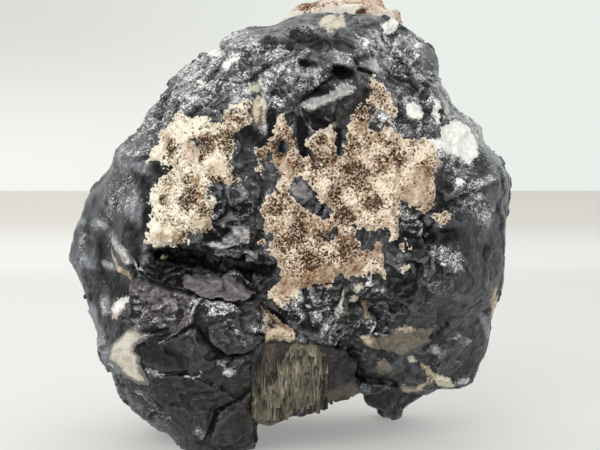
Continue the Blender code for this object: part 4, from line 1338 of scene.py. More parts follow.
@dataclass
class IlvaiteMass:
    """The black lump: an even skin over the solid, broken into faces, ledges, clefts and pits.

    Sizes, rises and the reach are in millimetres, except for the layers' size, which is in layout units.
    """

    voxel: float = 0.8
    cuts: int = 3  # how finely the front's squares are divided
    round_passes: int = 6
    front_reach: float = 4.0  # how far behind the middle the divided squares go
    face_sizes: tuple[float, ...] = (5.2, 2.2, 1.0)
    face_tilts: tuple[float, ...] = (0.19, 0.16, 0.11)
    back_size: float = 12.0
    plain_rough: float = 0.8
    plain_hackle: float = 0.30
    layer_size: tuple[float, float] = (15.0, 3.4)
    layer_rise: float = 0.34
    grain_size: float = 0.7
    grain_rise: float = 0.05
    sole_clearance: float = 0.7
    most_triangles: int = 188000
    edge_passes: int = 14
    edge_rise: float = 0.07
    block_brown: float = 0.21
    calm_loss: float = 0.22
    # how dark the painted shade makes the finest hollows
    hollow_shade: float = 0.38
    ledges: tuple[Ledge, ...] = LEDGES
    cracks: tuple[Crack, ...] = CRACKS
    pits: tuple[Pit, ...] = PITS
    zones: tuple[Zone, ...] = ZONES
    skin: Optional[BVHTree] = field(init=False, default=None)  # for the crusts to lie on, once it is built

    def build(self, node: Object, finish: Material) -> Object:
        """Models the rock, and keeps its skin for the crusts to lie on.

        Args:
            node: Its CAD node.
            finish: Its material.

        Returns:
            The piece, in metres.
        """
        made = remeshed(copy_of_node(node, "rock"), self.voxel)
        self.refine(made)
        mesh = made.data
        move_to(mesh, nudged(places_of(mesh)))
        places = places_of(mesh)
        normals = normals_of(mesh)
        at = LAYOUT.of(places)
        faces_front = smooth((0.35 - normals[:, 1]) / 0.5) * smooth((6.0 - places[:, 1]) / 4.0)
        seen = smooth((0.10 - normals[:, 1]) / 0.25)
        clear = smooth((places[:, 2] - 0.15) / self.sole_clearance)  # of the soles, which stay flat
        hackle = self.plain_hackle + self.zoned(at, faces_front, "hackle", self.plain_hackle)
        push, fine = self.broken_faces(places, at, faces_front, hackle)
        places = places + normals * (push * clear)[:, None]
        places[:, 1] -= self.carving(at) * faces_front * clear
        places[:, 2] = np.maximum(places[:, 2], 0.0)
        move_to(mesh, places)
        mark(mesh, "hackle", hackle)
        edge = np.clip(relief_of(mesh, self.edge_passes) / self.edge_rise, -1.0, 1.0)
        mark(mesh, "edge", edge * faces_front * np.clip(0.25 + 1.2 * hackle, 0.0, 1.0))
        self.mark_patches(mesh, at, (faces_front < 0.4) | (seen < 0.95))
        self.mark_films(mesh, at, faces_front, seen, fine)
        thinned(made, self.most_triangles)
        self.skin = tree_of(made.data)
        return finished(made, "ilvaite_mass", finish)

    def refine(self, made: Object) -> None:
        """Divides the squares of the front, where the detail is, and rounds them off."""
        bm = bmesh.new()
        bm.from_mesh(made.data)
        bm.normal_update()
        front = [f for f in bm.faces if f.normal.y < 0.05 and f.calc_center_median().y < self.front_reach]
        edges = list({e for f in front for e in f.edges})
        bmesh.ops.subdivide_edges(bm, edges=edges, cuts=self.cuts, use_grid_fill=True)
        relax(bm, self.round_passes)
        bmesh.ops.triangulate(bm, faces=[f for f in bm.faces if len(f.verts) > 4])
        bm.to_mesh(made.data)
        bm.free()

    def zoned(self, at: Array, faces_front: Array, quality: str, plain: float) -> Array:
        """How far the zones move a quality away from its plain value at each point.

        Args:
            at: Layout places.
            faces_front: How much each one faces the front.
            quality: The quality's name in a zone.
            plain: Its value outside the zones.

        Returns:
            The change at each place.
        """
        total = np.zeros(len(at))
        for zone in self.zones:
            share = smooth(0.5 + depth_in(at, zone.outline) / zone.soft) * faces_front
            total += (getattr(zone, quality) - plain - total) * share
        return total

    def broken_faces(
        self, places: Array, at: Array, faces_front: Array, hackle: Array
    ) -> tuple[Array, Array]:
        """The outward push of the fracture: flat faces in three sizes, and thin layers in hackly zones.

        Args:
            places: The vertices, in millimetres.
            at: Their layout places.
            faces_front: How much each one faces the front.
            hackle: How hackly each one's zone is.

        Returns:
            The push in millimetres, and the finest relief alone, from about -1 to 1.
        """
        rough = self.plain_rough + self.zoned(at, faces_front, "roughness", self.plain_rough)
        warp = np.stack([fractal(places / 2.6, 60 + k, 2) for k in range(3)], axis=1)
        push = np.zeros(len(places))
        for level, (size, tilt) in enumerate(zip(self.face_sizes, self.face_tilts)):
            face = size * facets((places + 0.5 * size * warp) / size, 3 + 20 * level, tilt, 0.5 * tilt)
            push += face if level == 0 else face * np.clip(0.35 + 1.3 * hackle, 0.0, 1.2)
        fine = face / (self.face_sizes[-1] * self.face_tilts[-1])
        bent = at + 7.0 * np.stack([fractal(at / 22.0, 71, 3), fractal(at / 16.0, 75, 3)], axis=1)
        layers = fractal(bent / np.array(self.layer_size), 81, 3, 0.65)
        push = push * rough + self.layer_rise * layers * hackle * faces_front
        size = self.back_size
        back = size * facets((places + 0.3 * size * warp) / size, 68, 0.10, 0.03) - 0.5
        push += (1.0 - faces_front) * back
        grain = self.grain_rise * fractal(places / self.grain_size, 90, 2)
        return push + grain, 0.6 * fine + 1.2 * layers * hackle

    def carving(self, at: Array) -> Array:
        """How far the ledges, cracks and pits bring each point forward, in millimetres."""
        rag = fractal(at / 6.0, 40, 4, 0.6)
        total = np.zeros(len(at))
        for ledge in self.ledges:
            middle = np.mean(np.array(ledge.outline, float), axis=0)
            depth = depth_in(at, ledge.outline) + ledge.ragged * rag
            height = ledge.height + (at - middle) @ np.array(ledge.tilt) / 10.0
            total += height * smooth(0.5 + depth / ledge.step)
        for crack in self.cracks:
            distance, share = to_line(at, crack.line, closed=False)
            distance = np.maximum(0.0, distance + crack.ragged * rag)
            taper = smooth(6.0 * share) * smooth(6.0 * (1.0 - share))
            total -= crack.depth * smooth(1.0 - distance / crack.width) * (0.3 + 0.7 * taper)
        for pit in self.pits:
            away = (at - np.array(pit.middle)) / np.array(pit.half)
            total -= pit.depth * smooth(1.3 - np.hypot(away[:, 0], away[:, 1]))
        return total

    def mark_patches(self, mesh: Mesh, at: Array, hidden: Array) -> None:
        """Stores how far inside the mineral patches, the painted highlights and lit faces, and the veins each
        vertex is, as far as one is seen.

        Args:
            mesh: The skin.
            at: Its vertices' layout places.
            hidden: Which of them aren't seen from the station.
        """
        for name, patches in PATCHES.items():
            mark(mesh, name, np.where(hidden, -FAR, np.clip(depth_in_any(at, patches), -FAR, FAR)))
        near = np.min([to_line(at, line, closed=False)[0] for line in VEINS], axis=0)
        mark(mesh, "vein", np.where(hidden, -FAR, VEIN_HALF_WIDTH - np.minimum(near, FAR)))

    def mark_films(self, mesh: Mesh, at: Array, faces_front: Array, seen: Array, fine: Array) -> None:
        """Stores where painted sheen, frost with painted sheen, painted shade and brown dust lie.

        Args:
            mesh: The skin.
            at: Its vertices' layout places.
            faces_front: How much each one faces the front.
            seen: How squarely each one is seen from the station.
            fine: The finest relief at each one.
        """
        # Painted sheen, only where a face is seen squarely
        mark(mesh, "painted_sheen", blotted(at, PAINTED_SHEEN) * seen)
        # Raised fine relief gets more: painted highlight on ridges
        frost_and_sheen = blotted(at, FROST_AND_SHEEN) + 0.16 * (fine - 0.2)
        frost_and_sheen = frost_and_sheen - self.calm_loss * smooth(0.5 + depth_in(at, CALM) / 8.0)
        behind = 0.16 + 0.34 * fractal(places_of(mesh) / 9.0, 95, 3) + 0.1 * fine
        frost_and_sheen = seen * np.clip(frost_and_sheen, -0.3, 1.0) + (1.0 - seen) * behind
        mark(mesh, "frost_and_sheen", np.clip(frost_and_sheen, -0.3, 1.0))
        # Painted shade: the listed dark blots, and more where the finest relief is lowest
        painted_shade = blotted(at, PAINTED_SHADE) * faces_front
        painted_shade = np.maximum(painted_shade, self.hollow_shade * smooth(-0.55 * fine - 0.25))
        mark(mesh, "painted_shade", np.clip(painted_shade, 0.0, 0.96))
        brown = self.block_brown * smooth(0.5 + depth_in(at, BLOCK) / 8.0) + blotted(at, DUSTY)
        mark(mesh, "brown", np.clip(brown, 0.0, 1.0) * faces_front)


# ------------ The crusts, the seam and the band ------------


class Weave(Enum):
    """How a crust's surface is broken up."""

    POROUS = "porous"
    WAXY = "waxy"


Spots = tuple[tuple[tuple[float, float], float], ...]  # middles and radii


def spotted(at: Array, spots: Spots, soft: float = 1.4) -> Array:
    """1 in the middle of some round spots, falling to 0 outside them."""
    total = np.zeros(len(at))
    for middle, radius in spots:
        away = np.hypot(*(at - np.array(middle)).T) / radius
        total = np.maximum(total, smooth(soft - away))
    return total


@dataclass
class Crust:
    """A crust on the front, whose margin sinks into the rock.

    Outlines, spots, spacings and the raggedness are in layout units. The thickness, the ripple and the
    depths are in millimetres. The swell, the porosity and the light of the edge are shares.
    """

    node: str
    name: str
    outline: Outline
    windows: tuple[Outline, ...] = ()
    islands: tuple[Outline, ...] = ()
    spacing: float = 0.68
    pore_spacing: float = 2.7
    thickness: float = 0.7
    swell: float = 0.45
    ripple: float = 0.10
    pore_depth: float = 0.26
    hole_depth: float = 0.9
    margin_depth: float = 0.35
    stain_depth: float = 0.3
    ragged: float = 10.0
    edge_light: float = 0.2
    weave: Weave = Weave.POROUS
    porosity: float = 0.5
    stains: Spots = ()
    holes: Spots = ()
    smooth_parts: Spots = ()
    light_parts: Spots = ()
    seed: int = 1

    def sheet(self) -> BMesh:
        """A flat grid over the crust, cut to its ragged outline."""
        corners = np.array([corner for part in (self.outline, *self.islands) for corner in part], float)
        low, high = corners.min(axis=0) - 5.0, corners.max(axis=0) + 5.0
        across, down = high - low
        bm = bmesh.new()
        bmesh.ops.create_grid(
            bm, x_segments=int(across / self.spacing), y_segments=int(down / self.spacing), size=0.5
        )
        bmesh.ops.scale(bm, vec=(across, down, 1.0), verts=bm.verts)
        bmesh.ops.translate(bm, vec=((low[0] + high[0]) / 2, (low[1] + high[1]) / 2, 0.0), verts=bm.verts)
        outside = self.depth(np.array([v.co[:2] for v in bm.verts])) < -2.0
        bmesh.ops.delete(bm, geom=[v for v, out in zip(bm.verts, outside) if out], context="VERTS")
        return bm

    def depth(self, at: Array) -> Array:
        """How far inside the ragged outline each layout point is."""
        depth = depth_in(at, self.outline)
        for window in self.windows:
            depth = np.minimum(depth, -depth_in(at, window))
        for island in self.islands:
            depth = np.maximum(depth, depth_in(at, island))
        return depth + self.ragged * fractal(at / 9.0, self.seed, 5, 0.72)

    def dense(self, at: Array, depth: Array) -> Array:
        """How porous the crust is at each layout point, from 0 to 1."""
        if self.weave is Weave.WAXY:
            return np.zeros(len(at))
        dense = self.porosity + 0.62 * fractal(at / 13.0, self.seed + 23, 4, 0.6)
        dense += 0.62 * spotted(at, self.stains) - 0.50 * spotted(at, self.smooth_parts)
        return np.clip(dense, 0.0, 1.0) * smooth(depth / 2.5)

    def pores(self, at: Array, dense: Array) -> Array:
        """Round pores where they are few, and a spongy net of gaps where they crowd, from 0 to 1."""
        bent = at + 1.3 * np.stack([value_noise(at / 2.6, self.seed + k) for k in (21, 22)], axis=1)
        found = cells(bent / self.pore_spacing, self.seed + 24)
        size = 0.10 + 0.34 * hashed(found.owner, self.seed + 25) * (0.5 + dense)
        open_ones = hashed(found.owner, self.seed + 26) < 0.15 + 0.85 * dense
        round_ones = smooth((size - found.nearest) / 0.16 + 0.5) * open_ones
        gaps = smooth((0.20 * dense - (found.second - found.nearest)) / 0.14 + 0.4)
        return np.maximum(round_ones, 0.85 * (gaps * smooth((dense - 0.45) / 0.3)))

    def rise(self, at: Array, depth: Array, pores: Array, holes: Array) -> Array:
        """How far the crust stands off the rock.

        Args:
            at: Layout places.
            depth: How far inside the outline each one is.
            pores: How open the pores are there.
            holes: How deep in a hole each one is.

        Returns:
            The rise in millimetres, below 0 where the crust sinks into the rock.
        """
        rise = self.thickness * smooth((depth + 1.2) / 7.0)
        rise *= 1.0 + self.swell * fractal(at / 18.0, self.seed + 5, 3)
        rise += self.ripple * fractal(at / 4.5, self.seed + 6, 2) * smooth(depth / 3.0)
        sunk = self.pore_depth * pores + self.hole_depth * holes
        sunk += self.margin_depth * smooth(-(depth + 0.2) / 1.5)
        return rise - (sunk + self.stain_depth * spotted(at, self.stains))

    def laid(self, bm: BMesh, rock: BVHTree, at: Array, rise: Array) -> Array:
        """Lays the sheet on the rock as the station sees it, and cuts away what misses the rock.

        Args:
            bm: The sheet.
            rock: The rock's skin.
            at: The layout place of each of the sheet's vertices.
            rise: How far each one stands off the rock.

        Returns:
            Whether each vertex is kept.
        """
        station = Vector(LAYOUT.station)
        kept = np.ones(len(at), bool)
        for number, (vertex, place, up) in enumerate(zip(bm.verts, at, rise)):
            towards = LAYOUT.sight(place)
            reach = rock.ray_cast(station, towards)[3]
            kept[number] = reach is not None
            if kept[number]:
                vertex.co = station + towards * (reach - up)
        lost = [v for v, keep in zip(bm.verts, kept) if not keep]
        bmesh.ops.delete(bm, geom=lost, context="VERTS")
        bmesh.ops.recalc_face_normals(bm, faces=bm.faces)
        if sum(f.normal.y for f in bm.faces) > 0.0:
            bmesh.ops.reverse_faces(bm, faces=bm.faces)
        return kept

    def build(self, rock: BVHTree, finish: Material) -> Object:
        """Models the crust over the rock.

        Args:
            rock: The rock's skin, in millimetres.
            finish: The material.

        Returns:
            The piece, in metres.
        """
        bm = self.sheet()
        at = np.array([v.co[:2] for v in bm.verts])
        depth = self.depth(at)
        dense = self.dense(at, depth)
        pores = self.pores(at, dense)
        holes = spotted(at, self.holes, 1.25)
        light = 0.5 + 0.45 * fractal(at / 14.0, self.seed + 12, 4, 0.6) + 0.3 * spotted(at, self.light_parts)
        light += self.edge_light * smooth(1.0 - depth / 5.0) - 0.28 * spotted(at, self.smooth_parts)
        kept = self.laid(bm, rock, at, self.rise(at, depth, pores, holes))
        made = add_object(self.name, bm)
        mark(made.data, "pore", np.maximum(pores, holes)[kept])
        mark(made.data, "pitted", dense[kept])
        mark(made.data, "light", light[kept])
        return finished(made, self.node, finish)


@dataclass
class TopCrust:
    """The lumpy crust on the top, with pores and a white foot. Its sizes are in millimetres."""

    voxel: float = 0.26
    lump_size: float = 3.2
    lump_rise: float = 0.45
    chip_size: float = 1.3
    chip_rise: float = 0.25
    pore_depth: float = 0.3
    foot_top: float = 62.5
    nudges: tuple[Nudge, ...] = (
        Nudge((385, 2), 15, (0, 7)),
        Nudge((399, 14), 12, (3, -3)),
        Nudge((346, 0), 16, (0, 3)),
    )
    brown: tuple[Blot, ...] = blots((8, 0.75, (298, 12), (312, 8)), (4, 0.30, (322, 5), (350, 4)))
    white: tuple[Blot, ...] = blots((6, 1.0, (328, 13), (353, 12)), (6, 0.7, (286, 20), (296, 17)))
    dark: tuple[Blot, ...] = blots((4, 1.0, (358, 14), (362, 13)))

    def build(self, node: Object, finish: Material) -> Object:
        """Models the crust from its CAD node."""
        made = remeshed(copy_of_node(node, "top_crust_lumps"), self.voxel)
        move_to(made.data, nudged(places_of(made.data), NUDGES + self.nudges))
        places = places_of(made.data)
        normals = normals_of(made.data)
        at = LAYOUT.of(places)
        white = blotted(at, self.white)
        fine = 0.6 * value_noise(places / 0.26, 5) + 0.4 * value_noise(places / 0.5, 6)
        dense = 0.20 + 0.4 * fractal(places / 2.6, 7, 3) + 0.6 * blotted(at, self.brown) - 0.5 * white
        pores = smooth((fine - (0.75 - 0.6 * dense)) / 0.16)
        push = self.lump_rise * fractal(places / self.lump_size, 8, 4, 0.55)
        push += self.chip_rise * facets(places / self.chip_size, 9, 0.5) - self.pore_depth * pores
        move_to(made.data, places + normals * push[:, None])
        mark(made.data, "pore", np.maximum(pores, blotted(at, self.dark)))
        mark(made.data, "pitted", np.clip(dense, 0.0, 1.0))
        foot = smooth((self.foot_top - places[:, 2]) / 2.0)
        mark(made.data, "light", 0.36 + 0.4 * fractal(places / 3.0, 10, 3) + 0.3 * foot + 0.5 * white)
        return finished(made, "top_crust", finish)


@dataclass
class FibrousBand:
    """Upright splinters laid like shingles over a streaked slab.

    Sizes are in millimetres, except for the splinters' length, which is in layout units.
    """

    voxel: float = 0.28
    splinters: int = 330
    sides: int = 5
    length: tuple[float, float] = (8.0, 26.0)
    width: tuple[float, float] = (0.30, 0.90)
    flatness: float = 0.17
    lean: float = 1.6  # how much the splinters lean either way, in degrees
    tones: float = 0.14  # how much their shades differ
    sunk: float = 0.6  # how far the slab's margin sinks
    seed: int = 12
    tops: Outline = ((250, 352), (270, 350), (284, 346), (300, 342), (314, 344), (330, 351), (340, 356))
    feet: Outline = (
        (250, 419), (262, 419), (268, 424), (272, 425), (278, 421), (287, 420), (293, 415),
        (300, 412), (310, 414), (318, 414), (324, 411), (331, 406), (341, 404),
    )
    foot_nudges: tuple[Nudge, ...] = (
        Nudge((268, 410), 24, (-3, 11)),
        Nudge((286, 410), 16, (0, 5)),
        Nudge((256, 372), 36, (-9, 0)),
        Nudge((256, 404), 30, (-6, 0)),
        Nudge((354, 374), 34, (10, 0)),
    )
    fibrous: Outline = (
        (284, 346), (296, 340), (314, 341), (329, 349), (332, 366), (329, 388), (324, 400), (322, 416),
        (306, 418), (298, 417), (286, 424), (270, 431), (248, 430), (243, 408), (250, 388), (256, 366),
        (266, 352),
    )
    ground: Outline = (
        (256, 350), (290, 346), (330, 352), (350, 362), (346, 398), (318, 410), (290, 414), (258, 420),
    )
    rusty: tuple[Blot, ...] = blots(
        (9, 0.8, (330, 400), (352, 391)), (6, 0.6, (262, 372), (256, 392)), (8, 0.75, (270, 350), (266, 370))
    )
    dim: tuple[Blot, ...] = blots(
        (9, 0.45, (278, 348), (268, 364), (256, 386)), (6, 0.25, (330, 352), (326, 404))
    )

    def build(self, node: Object, finish: Material) -> Object:
        """Models the slab and its splinters from the CAD node."""
        made = remeshed(copy_of_node(node, "fibres"), self.voxel)
        mesh = made.data
        self.groove(mesh)
        draw = np.random.default_rng(self.seed)
        own_shades = self.shade(LAYOUT.of(places_of(mesh))) + 0.12
        added = self.splinter_mesh(tree_of(mesh), draw)
        shades = self.shade(LAYOUT.of(places_of(added)))
        tones = self.tones * draw.standard_normal(self.splinters)
        shades += np.repeat(tones, 2 * self.sides)[: len(shades)]
        whole = bmesh.new()
        whole.from_mesh(mesh)
        whole.from_mesh(added)
        whole.to_mesh(mesh)
        whole.free()
        mark(mesh, "shade", np.concatenate([own_shades, shades]))
        mark(mesh, "rusty", blotted(LAYOUT.of(places_of(mesh)), self.rusty))
        return finished(made, "fibrous_band", finish)

    def groove(self, mesh: Mesh) -> None:
        """Grooves the slab upright, breaks up the rest of it and sinks its margin."""
        move_to(mesh, nudged(places_of(mesh), self.foot_nudges))
        places = places_of(mesh)
        normals = normals_of(mesh)
        at = LAYOUT.of(places)
        streaks = value_noise(places * np.array((1.9, 1.9, 0.16)), 3)
        streaks += 0.5 * value_noise(places * np.array((4.2, 4.2, 0.3)), 4)
        plain = smooth(0.5 + depth_in(at, self.fibrous) / 8.0)
        broken = 1.1 * facets(places / 1.5, 41, 0.35) + 0.15 * fractal(places / 0.6, 43, 3)
        places = places + normals * (plain * 0.12 * streaks + (1.0 - plain) * broken - 0.12)[:, None]
        places[:, 1] += self.sunk * smooth((10.0 - depth_in(at, self.ground)) / 12.0)
        move_to(mesh, places)

    def shade(self, at: Array) -> Array:
        """How dark the band is at each layout place: least in its fibrous part."""
        edge = smooth(0.4 - (depth_in(at, self.fibrous) + 7.0 * fractal(at / 9.0, 31, 3)) / 12.0)
        return 1.5 * edge + 0.20 * fractal(at / np.array((9.0, 24.0)), 33, 3) + blotted(at, self.dim)

    def scatter(self, draw: np.random.Generator) -> Array:
        """Places for the splinters, all over the fibrous part, from the top down."""
        corners = np.array(self.fibrous, float)
        spread = draw.uniform(corners.min(axis=0), corners.max(axis=0), (4 * self.splinters, 2))
        found = spread[depth_in(spread, self.fibrous) > -3.0][: self.splinters]
        return found[np.argsort(found[:, 1])]

    def splinter_mesh(self, slab: BVHTree, draw: np.random.Generator) -> Mesh:
        """All the splinters, laid on the slab from the top down."""
        bm = bmesh.new()
        for middle in self.scatter(draw):
            self.splinter(bm, slab, middle, draw)
        made = bpy.data.meshes.new("splinters")
        bm.to_mesh(made)
        bm.free()
        return made

    def splinter(self, bm: BMesh, slab: BVHTree, middle: Array, draw: np.random.Generator) -> None:
        """Adds a flat many-sided splinter, proud at its foot.

        Args:
            bm: Where it goes.
            slab: The slab that it lies on.
            middle: The layout place of its middle.
            draw: The source of chance.
        """
        size = draw.uniform(*self.length)
        top = np.interp(middle[0], *np.array(self.tops, float).T) + 0.5 * size
        foot = np.interp(middle[0], *np.array(self.feet, float).T) + draw.uniform(-3.0, 1.0) - 0.5 * size
        middle = np.array((middle[0], min(max(middle[1], top), foot)))
        radius = draw.uniform(*self.width) / 2.0
        station = Vector(LAYOUT.station)
        towards = LAYOUT.sight(middle)
        reach = slab.ray_cast(station, towards)[3]
        if reach is None:
            reach = LAYOUT.distance
        place = station + towards * (reach + draw.uniform(-0.04, 0.05))
        turned = Matrix.Rotation(math.radians(draw.normal(0.0, self.lean)), 4, "Y")
        turned = turned @ Matrix.Rotation(math.radians(draw.uniform(-4.0, 1.0)), 4, "X")
        flat = Matrix.Diagonal((1.0, self.flatness, 1.0, 1.0))
        flat = flat @ Matrix.Rotation(draw.uniform(0.0, math.pi), 4, "Z")
        bmesh.ops.create_cone(
            bm,
            cap_ends=True,
            segments=self.sides,
            radius1=radius * draw.uniform(0.5, 1.0),
            radius2=radius * draw.uniform(0.3, 0.9),
            depth=LAYOUT.unit * size,
            matrix=Matrix.Translation(place) @ turned @ flat,
        )


# ------------ The surroundings ------------


@dataclass(frozen=True)
class Softbox:
    """A square soft light that faces the stone: its power in watts, its width and its place, in metres."""

    name: str
    power: float
    size: float
    place: tuple[float, float, float]

    def build(self, target: Vector) -> None:
        """Adds the light, turned to the target."""
        lamp = bpy.data.lights.new(self.name, "AREA")
        lamp.energy = self.power
        lamp.size = self.size
        placed = bpy.data.objects.new(self.name, lamp)
        placed.location = self.place
        placed.rotation_euler = (target - Vector(self.place)).to_track_quat("-Z", "Y").to_euler()
        bpy.context.scene.collection.objects.link(placed)


@dataclass
class Surroundings:
    """A plain pale floor that ends at a pale wall, soft light from above, and the camera. The floor glows,
    which lightens the shade under the stone, and its colour carries painted light and shade: lighter in a
    middle band, darker far off and towards the right.

    Lengths are in metres, and a fade is where a colour starts and ends its change to the next one.
    """

    wall_distance: float = 1.20
    half_width: float = 3.0
    floor_colour: Colour = (0.65, 0.65, 0.631)
    middle_colour: Colour = (0.715, 0.715, 0.696)
    far_colour: Colour = (0.62, 0.596, 0.555)
    middle_fade: tuple[float, float] = (0.22, 0.32)
    far_fade: tuple[float, float] = (0.36, 0.62)
    right_fade: tuple[float, float] = (-0.10, 0.16)
    right_fall: float = 0.10
    # the floor glows though it is no lamp, which lightens the shade under the stone
    floor_glow: float = 0.40
    wall_low_left: Colour = (0.93, 0.93, 0.88)
    wall_high_left: Colour = (0.72, 0.73, 0.70)
    wall_right: Colour = (0.82, 0.86, 0.82)
    wall_rise: tuple[float, float] = (0.02, 0.18)
    wall_fade: tuple[float, float] = (-0.30, 0.12)
    wall_glow: float = 1.0
    softboxes: tuple[Softbox, ...] = (
        Softbox("overhead", 0.24, 0.40, (-0.04, -0.02, 0.46)),
        Softbox("front", 2.2, 0.45, (-0.22, -0.62, 0.34)),
        Softbox("back", 0.5, 0.60, (0.0, 0.72, 0.70)),
    )
    target_height: float = 0.03
    sky: Colour = (1.0, 1.0, 1.0)
    sky_strength: float = 0.66
    lens: float = 82.9  # in millimetres, as the sensor is
    sensor: float = 36.0
    pitch: float = 3.11  # in degrees
    nearest: float = 0.01

    def panel(self, name: str, turn: float, place: tuple[float, float, float], finish: Material) -> Object:
        """Makes a large square.

        Args:
            name: Its name.
            turn: How far it is tipped up, in degrees.
            place: Where its middle goes.
            finish: Its material.

        Returns:
            The square.
        """
        bm = bmesh.new()
        bmesh.ops.create_grid(bm, x_segments=1, y_segments=1, size=self.half_width)
        tipped = Matrix.Rotation(math.radians(turn), 3, "X")
        bmesh.ops.rotate(bm, verts=bm.verts, cent=(0, 0, 0), matrix=tipped)
        bmesh.ops.translate(bm, vec=place, verts=bm.verts)
        made = add_object(name, bm)
        made.data.materials.append(finish)
        return made

    def floor(self) -> Object:
        """The floor, up to the wall, with painted light and shade in its colour and a glow."""
        material, graph, shader = new_material("pale_floor", 0.70, 0.05)
        along = graph.node("ShaderNodeSeparateXYZ", {0: graph.place()}).outputs
        middle = graph.step(along["Y"], *self.middle_fade)
        colour = graph.mix(middle, self.floor_colour, self.middle_colour)
        colour = graph.mix(graph.step(along["Y"], *self.far_fade), colour, self.far_colour)
        right = graph.step(along["X"], *self.right_fade)
        # Darker towards the right: painted fall of light
        colour = graph.shaded(colour, graph.blend((1.0, 1.0), (right, -self.right_fall)))
        feeds = {"Base Color": colour, "Emission Color": colour, "Emission Strength": self.floor_glow}
        graph.fill(shader, feeds)
        return self.panel("floor", 0.0, (0.0, self.wall_distance - self.half_width, 0.0), material)

    def wall(self) -> Object:
        """The wall behind, which glows softly."""
        material = bpy.data.materials.new("pale_wall")
        material.use_nodes = True
        graph = Graph(material.node_tree)
        along = graph.node("ShaderNodeSeparateXYZ", {0: graph.place()}).outputs
        rise = graph.step(along["Z"], *self.wall_rise)
        colour = graph.mix(rise, self.wall_low_left, self.wall_high_left)
        colour = graph.mix(graph.step(along["X"], *self.wall_fade), colour, self.wall_right)
        glow = graph.node("ShaderNodeEmission", {"Color": colour, "Strength": self.wall_glow})
        graph.fill(material.node_tree.nodes["Material Output"], {"Surface": glow.outputs[0]})
        return self.panel("wall", 90.0, (0.0, self.wall_distance, self.half_width), material)

    def light(self) -> None:
        """The soft lights and the even light all round."""
        for softbox in self.softboxes:
            softbox.build(Vector((0.0, 0.0, self.target_height)))
        world = bpy.data.worlds.new("even_light")
        world.use_nodes = True
        feeds = {"Color": self.sky, "Strength": self.sky_strength}
        Graph(world.node_tree).fill(world.node_tree.nodes["Background"], feeds)
        bpy.context.scene.world = world

    def camera(self) -> None:
        """The camera, level with the upper half of the stone and tipped slightly down."""
        lens = bpy.data.cameras.new("camera")
        lens.lens = self.lens
        lens.sensor_width = self.sensor
        lens.clip_start = self.nearest
        placed = bpy.data.objects.new("camera", lens)
        placed.location = Vector(LAYOUT.station) * MM
        placed.rotation_euler = (math.radians(90.0 - self.pitch), 0.0, 0.0)
        bpy.context.scene.collection.objects.link(placed)
        bpy.context.scene.camera = placed

    def build(self) -> None:
        """Sets up the surroundings."""
        self.floor()
        self.wall()
        self.light()
        self.camera()
        bpy.context.scene.view_settings.view_transform = "Standard"


# ------------ The specimen ------------

CENTRE = Crust(
    node="centre_crust",
    name="tan_crust",
    outline=(
        (283, 116), (290, 124), (295, 140), (297, 152), (303, 163), (309, 152), (311, 136), (321, 128),
        (333, 125), (335, 140), (339, 155), (346, 140), (348, 126), (361, 108), (366, 89), (373, 74),
        (382, 85), (392, 98), (391, 110), (376, 111), (370, 134), (384, 132), (394, 128), (400, 138),
        (412, 143), (425, 137), (440, 144), (440, 162), (432, 173), (434, 194), (433, 206), (424, 212),
        (412, 204), (400, 198), (400, 216), (396, 236), (384, 230), (366, 229), (353, 226), (356, 241),
        (368, 248), (380, 244), (385, 258), (385, 280), (371, 271), (358, 277), (340, 277), (325, 286),
        (300, 288), (293, 298), (293, 308), (283, 306), (268, 297), (270, 288), (280, 281), (281, 262),
        (262, 243), (264, 225), (262, 210), (268, 194), (279, 192), (272, 165), (270, 140), (275, 126),
    ),
    windows=(
        ((286, 181), (300, 176), (312, 185), (314, 198), (331, 208), (328, 219), (310, 213), (288, 196)),
        ((357, 238), (368, 236), (376, 240), (372, 250), (362, 250)),
        ((328, 232), (336, 228), (338, 234), (330, 240)),
        ((264, 237), (270, 235), (273, 244), (270, 253), (264, 250)),
    ),
    islands=(
        ((433, 213), (446, 210), (453, 214), (448, 222), (441, 225), (437, 218)),
        ((398, 243), (406, 241), (408, 249), (400, 254)),
        ((400, 266), (406, 263), (410, 268), (403, 272)),
        ((390, 228), (398, 226), (397, 240), (391, 240)),
        ((386, 113), (396, 109), (398, 117), (389, 120)),
        ((254, 147), (264, 146), (267, 158), (265, 170), (258, 170), (255, 160)),
    ),
    porosity=0.48,
    stains=(
        ((335, 194), 7.0), ((399, 155), 9.0), ((345, 215), 9.0), ((283, 147), 9.0), ((312, 262), 11.0),
        ((366, 112), 10.0), ((276, 208), 8.0), ((358, 175), 13.0), ((298, 234), 11.0), ((318, 161), 8.0),
        ((278, 172), 8.0), ((348, 258), 8.0), ((260, 160), 6.0), ((374, 205), 8.0), ((322, 140), 6.0),
        ((366, 92), 7.0), ((382, 158), 7.0), ((322, 236), 8.0), ((300, 256), 7.0),
    ),
    holes=(((283, 147), 7.5),),
    smooth_parts=(
        ((416, 198), 16.0), ((375, 245), 12.0), ((320, 275), 18.0), ((290, 285), 14.0),
        ((350, 268), 14.0), ((420, 178), 10.0), ((284, 170), 12.0),
    ),
    light_parts=(
        ((318, 176), 14.0), ((416, 146), 18.0), ((384, 184), 12.0), ((376, 86), 10.0), ((330, 134), 8.0),
        ((268, 198), 8.0), ((300, 200), 8.0), ((350, 196), 9.0),
    ),
    seed=101,
)
